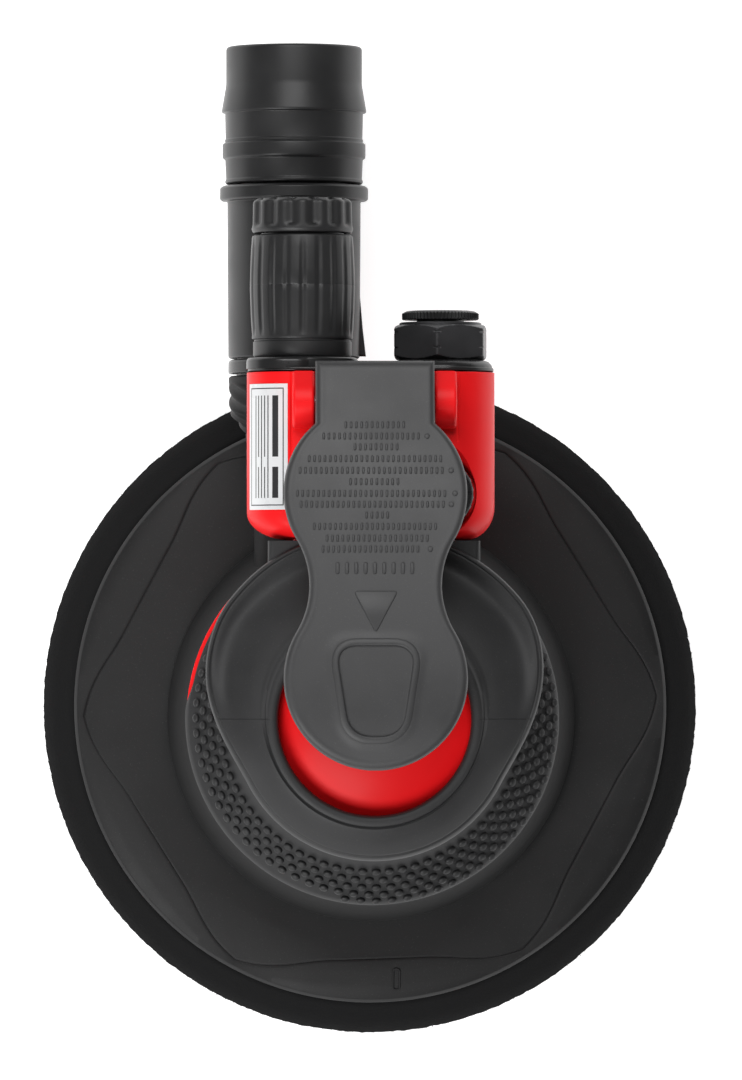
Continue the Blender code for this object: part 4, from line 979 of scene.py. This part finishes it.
def lever_treads():
    """Rows of plain upright treads, five dots, a triangle and the thumb rest's frame."""
    rows = [(65.0, -6.5, 6.8), (62.5, -11.4, 9.9), (60.1, -4.5, 4.8), (57.5, -14.6, 14.8),
            (54.9, -16.6, 15.2), (52.4, -5.5, 5.8), (49.8, -17.2, 16.0), (47.4, -16.4, 15.2),
            (45.0, -2.0, 2.9), (42.5, -13.5, 14.1), (39.9, -10.7, 12.3), (37.5, -11.6, 10.4)]
    large = (33.3, -8.4, 9.9)
    shells = []
    for y, start, end in [*rows, large]:
        half, pitch, wide = (1.25, 2.05, 0.42) if y == large[0] else (0.72, 1.16, 0.27)
        for i in range(int((end - start) / pitch) + 1):
            x = start + pitch * i
            line = round_rect((x - wide, x + wide), (y - half, y + half), wide * 0.8, 3)
            shells.append(raised(line, 0.30))
    for x, y in ((11.4, 62.5), (16.7, 54.9), (17.5, 49.8), (16.7, 47.4), (12.0, 37.5)):
        shells.append(raised(ring_of(0.58, (x, y), 16), 0.30))
    triangle = soften([(-4.9, 28.2, 1.0), (0.0, 19.0, 1.0), (4.9, 28.2, 1.0)], 4, True)
    shells.append(raised(dense(triangle, 0.8, True), 0.34))
    shells.append(thumb_frame())
    return shells


# ---- rear plate and exhaust
def make_manifold():
    start, end = 77.5, 78.3
    base = round_rect((-28.1, 26.8), (50.2, 76.8), (4.8, 4.8, 11.8, 11.8), 12)
    left = round_rect((-28.4, -12.4), (50.6, 76.2), (4.0, 4.0, 5.0, 9.0))
    right = round_rect((3.9, 26.6), (51.0, 76.2), (5.0, 5.0, 11.0, 7.0))
    pad = ring_of(12.4, (MUFFLER.x, MUFFLER.z), 72)
    web = round_rect((-27.0, -8.2), (44.0, 54.0), 1.0, 3)
    lobe = ring_of(14.9, (TUBE.x, TUBE.z), 96)
    plate = build("rear_plate", [slab(base, start, end, 0.15, "Y", last_edge=0.3)])
    layers = ((left, 0.5, 80.5, 0, 0.9), (right, 0.1, 79.95, 0, 2.0), (pad, 0.6, 80.62, 0, 0.6),
              (web, 0.3, 80.4, 0, 0.8), (lobe, 0.4, 81.1, 0.4, 0.8))
    join(plate, [slab(outline, start + sink, top, edge, "Y", last_edge=last_edge)
                 for outline, sink, top, edge, last_edge in layers])
    cuts = [bore(TUBE.x, TUBE.z, 13.3, 70, 90, 90, 1.0), bore(MUFFLER.x, MUFFLER.z, 7.6, 70, 90),
            bore(INLET.x, INLET.z, 8.2, 70, 90)]
    for z in SCREW_HEIGHTS:
        cuts += [bore(SCREW_X, z, 2.2, 70, 90, 24), bore(SCREW_X, z, 3.6, 77.0, 90, 40)]
    cut(plate, cuts)
    settle(even(plate), "housing", GLOSS_BLACK, "rear_manifold")


def make_screws():
    profile = soften([(0, 78.4), (2.9, 78.4, 0.3), (3.3, 78.0, 0.2), (3.3, 77.3, 0.1),
                      (1.9, 77.26), (1.9, 68.0, 0.4), (0, 67.0)])
    for index, z in enumerate(SCREW_HEIGHTS):
        name = f"manifold_screw_{index + 1}"
        screw = build(name + "_head", [lathe(profile, 48, "Y", (SCREW_X, 0, z))])
        cut(screw, [bore(SCREW_X, z, 1.45, 77.7, 84, 6, 15.0)])
        settle(screw, "housing", OXIDE, name)


def make_barrel():
    facets = 20

    def faceted(a, r, h):
        if not 85.4 < h < 107.5 or r < 11.1:
            return r, h
        step = tau / facets
        off = (a + step / 2) % step - step / 2
        valley = 0.5 + 0.5 * cos(min(abs(off) * r / 1.05, 1.0) * pi)
        ends = ramp(h, 85.6, 86.4) * (1 - ramp(h, 106.8, 107.4))
        return r - 0.30 * valley * ends, h

    body = [(11.25, 85.5), (11.4, 87.0), (11.6, 90.5), (11.75, 95.0), (11.78, 96.6), (11.73, 96.75),
            (11.78, 96.9), (11.7, 100.5), (11.5, 105.0), (11.3, 107.4)]
    profile = [(9.6, 108.0), (10.8, 108.0), (11.2, 107.75), *reversed(body)]
    profile += [(11.3, 85.1), (11.2, 84.8), (10.8, 84.6), (10.8, 84.3), (11.0, 84.1),
                (11.0, 83.6), (11.0, 81.2), (10.8, 80.8), (7.3, 80.75), (7.3, 78.0), (5.6, 78.0),
                (5.6, 84.6), (9.6, 84.6)]
    barrel = build("muffler_body", [lathe(profile, facets * 18, "Y", MUFFLER, faceted)], 28.0)
    settle(barrel, "housing", TUBE_BLACK, "muffler_barrel")


def make_cap():
    flutes = 14

    def fluted(a, r, h):
        if r < 10.0 or h < 109.6:
            return r, h
        wave = (0.5 + 0.5 * cos(flutes * a)) ** 1.4
        return r - 0.75 * wave * ramp(h, 109.6, 110.6) * ramp(r, 10.0, 10.6), h

    end = high("muffler_cap").y - 0.3
    profile = soften([(5.0, end - 0.3, 0.2), (5.3, end, 0.2), (10.2, end, 0.5),
                      (11.2, end - 0.8, 0.4), (11.35, 109.2, 0.3), (11.0, 108.5, 0.2), (9.3, 108.4),
                      (9.3, 104.8), (7.6, 104.8), (7.6, end - 1.6), (5.0, end - 1.6)], 3)
    cap = lathe(dense(profile, 0.5), flutes * 22, "Y", MUFFLER, fluted)
    settle(build("muffler_end_cap", [cap], 32.0), "housing", TUBE_BLACK, "muffler_cap")


# ---- air inlet
def make_bushing():
    start, end = 80.1, 87.9
    flat = 10.0

    def hexed(a, r, h):
        if r < 9.3:
            return r, h
        turn = (degrees(a) - 35.0) % 60.0 - 30.0
        side = flat / cos(radians(turn))
        cone = 9.6 + 1.9 * min(h - start, end - h) + 0.05
        notch = 0.25 if 82.5 < h < 82.9 or 86.0 < h < 86.4 else 0.0
        limit = 11.4 - notch * 1.4
        return min(side, cone, limit), h

    rows = [start + (end - start) * k / 46 for k in range(47)]
    profile = [(5.7, 88.5), (8.9, 88.5), (9.2, 88.3), (9.2, end + 0.05)]
    profile += [(11.5, h) for h in reversed(rows)]
    profile += [(9.2, start - 0.03), (9.2, 80.02), (9.0, 80.0), (7.9, 80.0), (7.9, 68.6), (5.3, 68.6),
                (5.3, 73.3), (4.2, 73.6), (4.2, 74.6), (5.7, 75.6)]
    bushing = build("hex_bushing", [lathe(profile, 360, "Y", INLET, hexed)], 25.0)
    settle(bushing, "housing", OXIDE, "inlet_bushing")


def make_plug():
    start, end = span("inlet_dust_plug", "Y")
    ribs = 64

    def knurled(a, r, h):
        if r < 8.3 or not 89.2 < h < 90.7:
            return r, h
        return r - 0.28 * (0.5 + 0.5 * cos(ribs * a)), h

    profile = soften([(0, end - 0.35), (5.6, end - 0.35, 0.2), (6.0, end, 0.2), (7.6, end, 0.4),
                      (8.4, end - 0.5, 0.2), (8.6, 90.5), (8.6, 89.3), (8.4, 89.05, 0.1), (5.3, 89.0),
                      (5.3, start + 0.8), (4.5, start), (0, start)], 3)
    plug = build("knurled_plug", [lathe(dense(profile, 0.8), ribs * 6, "Y", INLET, knurled)], 32.0)
    settle(plug, "dust_plug", GLOSS_BLACK, "inlet_dust_plug")


# ---- small parts
def make_knob():
    bottom, top = span("speed_regulator", "Z")
    ribs = 22

    def fluted(a, r, h):
        if r < 7.1 or h < 71.9 or h > top - 0.9:
            return r, h
        return r - 0.38 * (0.5 + 0.5 * cos(ribs * a)) ** 2, h

    profile = soften([(3.4, top), (3.5, top, 0.1), (6.6, top, 0.4), (7.4, top - 0.8, 0.3),
                      (7.4, 71.4, 0.2), (5.7, 71.3), (5.7, 70.4), (5.1, 70.4), (5.1, 69.0),
                      (5.7, 69.0), (5.7, bottom), (4.4, bottom), (4.4, 68.2), (3.4, 68.2)], 3)
    knob = build("speed_knob", [lathe(dense(profile, 1.2), ribs * 10, at=KNOB, shape=fluted)], 32.0)
    x, y = KNOB.x, KNOB.y
    mark = round_rect((x + 4.2, x + 7.0), (y - 0.4, y + 0.4), 0.35)
    cut(knob, [slab(round_rect((x - 2, x + 8), (y - 8, y + 8), 0.1), 56, 68),
               slab(round_rect((x - 8, x + 1), (y - 8, y - 1), 0.1), 56, 68),
               slab(mark, top - 0.5, top + 1)], 32.0)
    settle(even(knob), "regulator", GLOSS_BLACK, "speed_regulator")


def make_pins():
    left, right = span("lever_pin", "X")
    profile = soften([(0, right), (1.2, right, 0.2), (1.5, right - 0.4, 0.2), (1.5, 16.6, 0.1),
                      (1.35, 16.4, 0.1), (1.5, 16.2, 0.1), (1.5, left + 0.4, 0.2), (1.2, left, 0.2),
                      (0, left)])
    settle(build("hinge_pin", [lathe(profile, 40, "X", PIN)]), "housing", STEEL, "lever_pin")
    bottom, top = span("throttle_pin", "Z")
    profile = soften([(0, top), (2.2, top, 0.4), (2.8, top - 0.6, 0.4), (2.8, 85.0, 0.3),
                      (1.8, 84.2, 0.3), (1.8, bottom + 0.6, 0.3), (1.2, bottom, 0.2), (0, bottom)])
    push_pin = build("push_pin", [lathe(profile, 40, at=middle("throttle_pin"))])
    settle(push_pin, "throttle_pin", STEEL, "throttle_pin")


def make_label():
    """A curved plate on the block's shoulder, with a plain border and plain ruled lines."""
    start, end = span("rating_label", "Y")
    centre = (BLOCK_LEFT + TOP_ROUND, BLOCK_HIGH - TOP_ROUND)
    radius = TOP_ROUND + 0.28
    first, last = radians(104.0), radians(158.0)
    arc = (last - first) * radius
    length = end - start
    border = (0.9, 1.15)
    margin = 2.6
    ruled = [(2.2, 3.7)] + [(4.7 + 0.95 * k, 5.0 + 0.95 * k) for k in range(5)]
    broken = (length * 0.34, length * 0.42)

    def both_ends(size):
        return [0.0, *border, size - border[1], size - border[0], size]

    cuts_u = sorted({*both_ends(arc), *[u for pair in ruled for u in pair]})
    cuts_v = sorted({*both_ends(length), margin, *broken, length - margin})
    us = [u for u, _ in dense([(u, 0.0) for u in cuts_u], 0.6)]
    vs = [v for v, _ in dense([(v, 0.0) for v in cuts_v], 1.5)]

    def ring(v, r):
        turns = [first + u / radius for u in us]
        return [(centre[0] + r * cos(a), start + v, centre[1] + r * sin(a)) for a in turns]

    def inked(u, v):
        edge = min(u, v, arc - u, length - v)
        if edge < border[1]:
            return edge > border[0]
        if not margin < v < length - margin:
            return False
        whole = not broken[0] < v < broken[1]
        return any(a < u < b and (index % 2 or whole) for index, (a, b) in enumerate(ruled))

    rows = [ring(v, radius) + ring(v, radius - 0.24)[::-1] for v in vs]
    label = build("rating_plate", [skin(rows, caps=True)], 30.0)
    settle(label, "housing", LABEL, "rating_label")
    label.data.materials.append(INK[1])
    for face in label.data.polygons:
        x, y, z = face.center / MM
        away = Vector((x - centre[0], z - centre[1]))
        on_top = away.length > radius - 0.05
        if on_top and inked((atan2(away.y, away.x) - first) * radius, y - start):
            face.material_index = 1


# ---- assembly
for make in (make_foam, make_facing, make_plate, make_shroud, make_sleeve, make_tube, make_spigot,
             make_housing, make_grip, make_nubs, make_lever, make_manifold, make_screws,
             make_barrel, make_cap, make_bushing, make_plug, make_knob, make_pins, make_label):
    make()

SLOT_OF = {part["node"]: part["material_slot"] for part in frame["record"]["subparts"]}
for name, obj in sorted(frame["nodes"].items()):
    obj.data.materials.clear()
    obj.data.materials.append(CAD_FINISH[SLOT_OF[name]])


# ---- floor, light and camera, in metres
LAMP_AIM = Vector((0.0, 0.02, 0.03))
CAMERA_AT = Vector((-29.8, 13.1, 2200.0)) * MM
CAMERA_AIM = Vector((0.3, 40.7, 0.0)) * MM


def make_floor():
    mesh = bpy.data.meshes.new("floor")
    bm = bmesh.new()
    bmesh.ops.create_grid(bm, x_segments=4, y_segments=4, size=4.0)
    bmesh.ops.translate(bm, verts=bm.verts, vec=(0, 0, -0.0002))
    bm.to_mesh(mesh)
    bm.free()
    floor = link("floor", mesh)
    mat = bpy.data.materials.new("pale_floor")
    mat.use_nodes = True
    values = {"Base Color": (0.90, 0.90, 0.90, 1.0), "Roughness": 0.9, "Specular IOR Level": 0.1,
              "Emission Color": (1.0, 1.0, 1.0, 1.0), "Emission Strength": 0.7}
    wire(mat.node_tree, mat.node_tree.nodes["Principled BSDF"], values, {})
    mesh.materials.append(mat)


def softbox(name, at, size, power):
    data = bpy.data.lights.new(name, "AREA")
    data.shape = "RECTANGLE"
    data.size, data.size_y = size
    data.energy = power
    lamp = link(name, data)
    lamp.location = at
    lamp.rotation_euler = (LAMP_AIM - Vector(at)).to_track_quat("-Z", "Y").to_euler()


def make_light():
    world = bpy.data.worlds.new("studio")
    world.use_nodes = True
    values = {"Color": (1.0, 1.0, 1.0, 1.0), "Strength": 0.15}
    wire(world.node_tree, world.node_tree.nodes["Background"], values, {})
    bpy.context.scene.world = world
    softbox("key", (-0.05, 0.70, 1.15), (0.8, 0.6), 8.5)
    softbox("fill", (-0.50, -0.75, 1.05), (0.9, 0.8), 14.0)


def make_camera():
    data = bpy.data.cameras.new("camera")
    data.lens = 318.8
    data.sensor_width = 36.0
    data.clip_end = 20.0
    camera = link("camera", data)
    back = (CAMERA_AT - CAMERA_AIM).normalized()
    right = Vector((0, 1, 0)).cross(back).normalized()
    turn = Matrix((right, back.cross(right), back)).transposed()
    camera.matrix_world = Matrix.Translation(CAMERA_AT) @ turn.to_4x4()
    bpy.context.scene.camera = camera


make_floor()
make_light()
make_camera()
bpy.context.scene.view_settings.view_transform = "Standard"
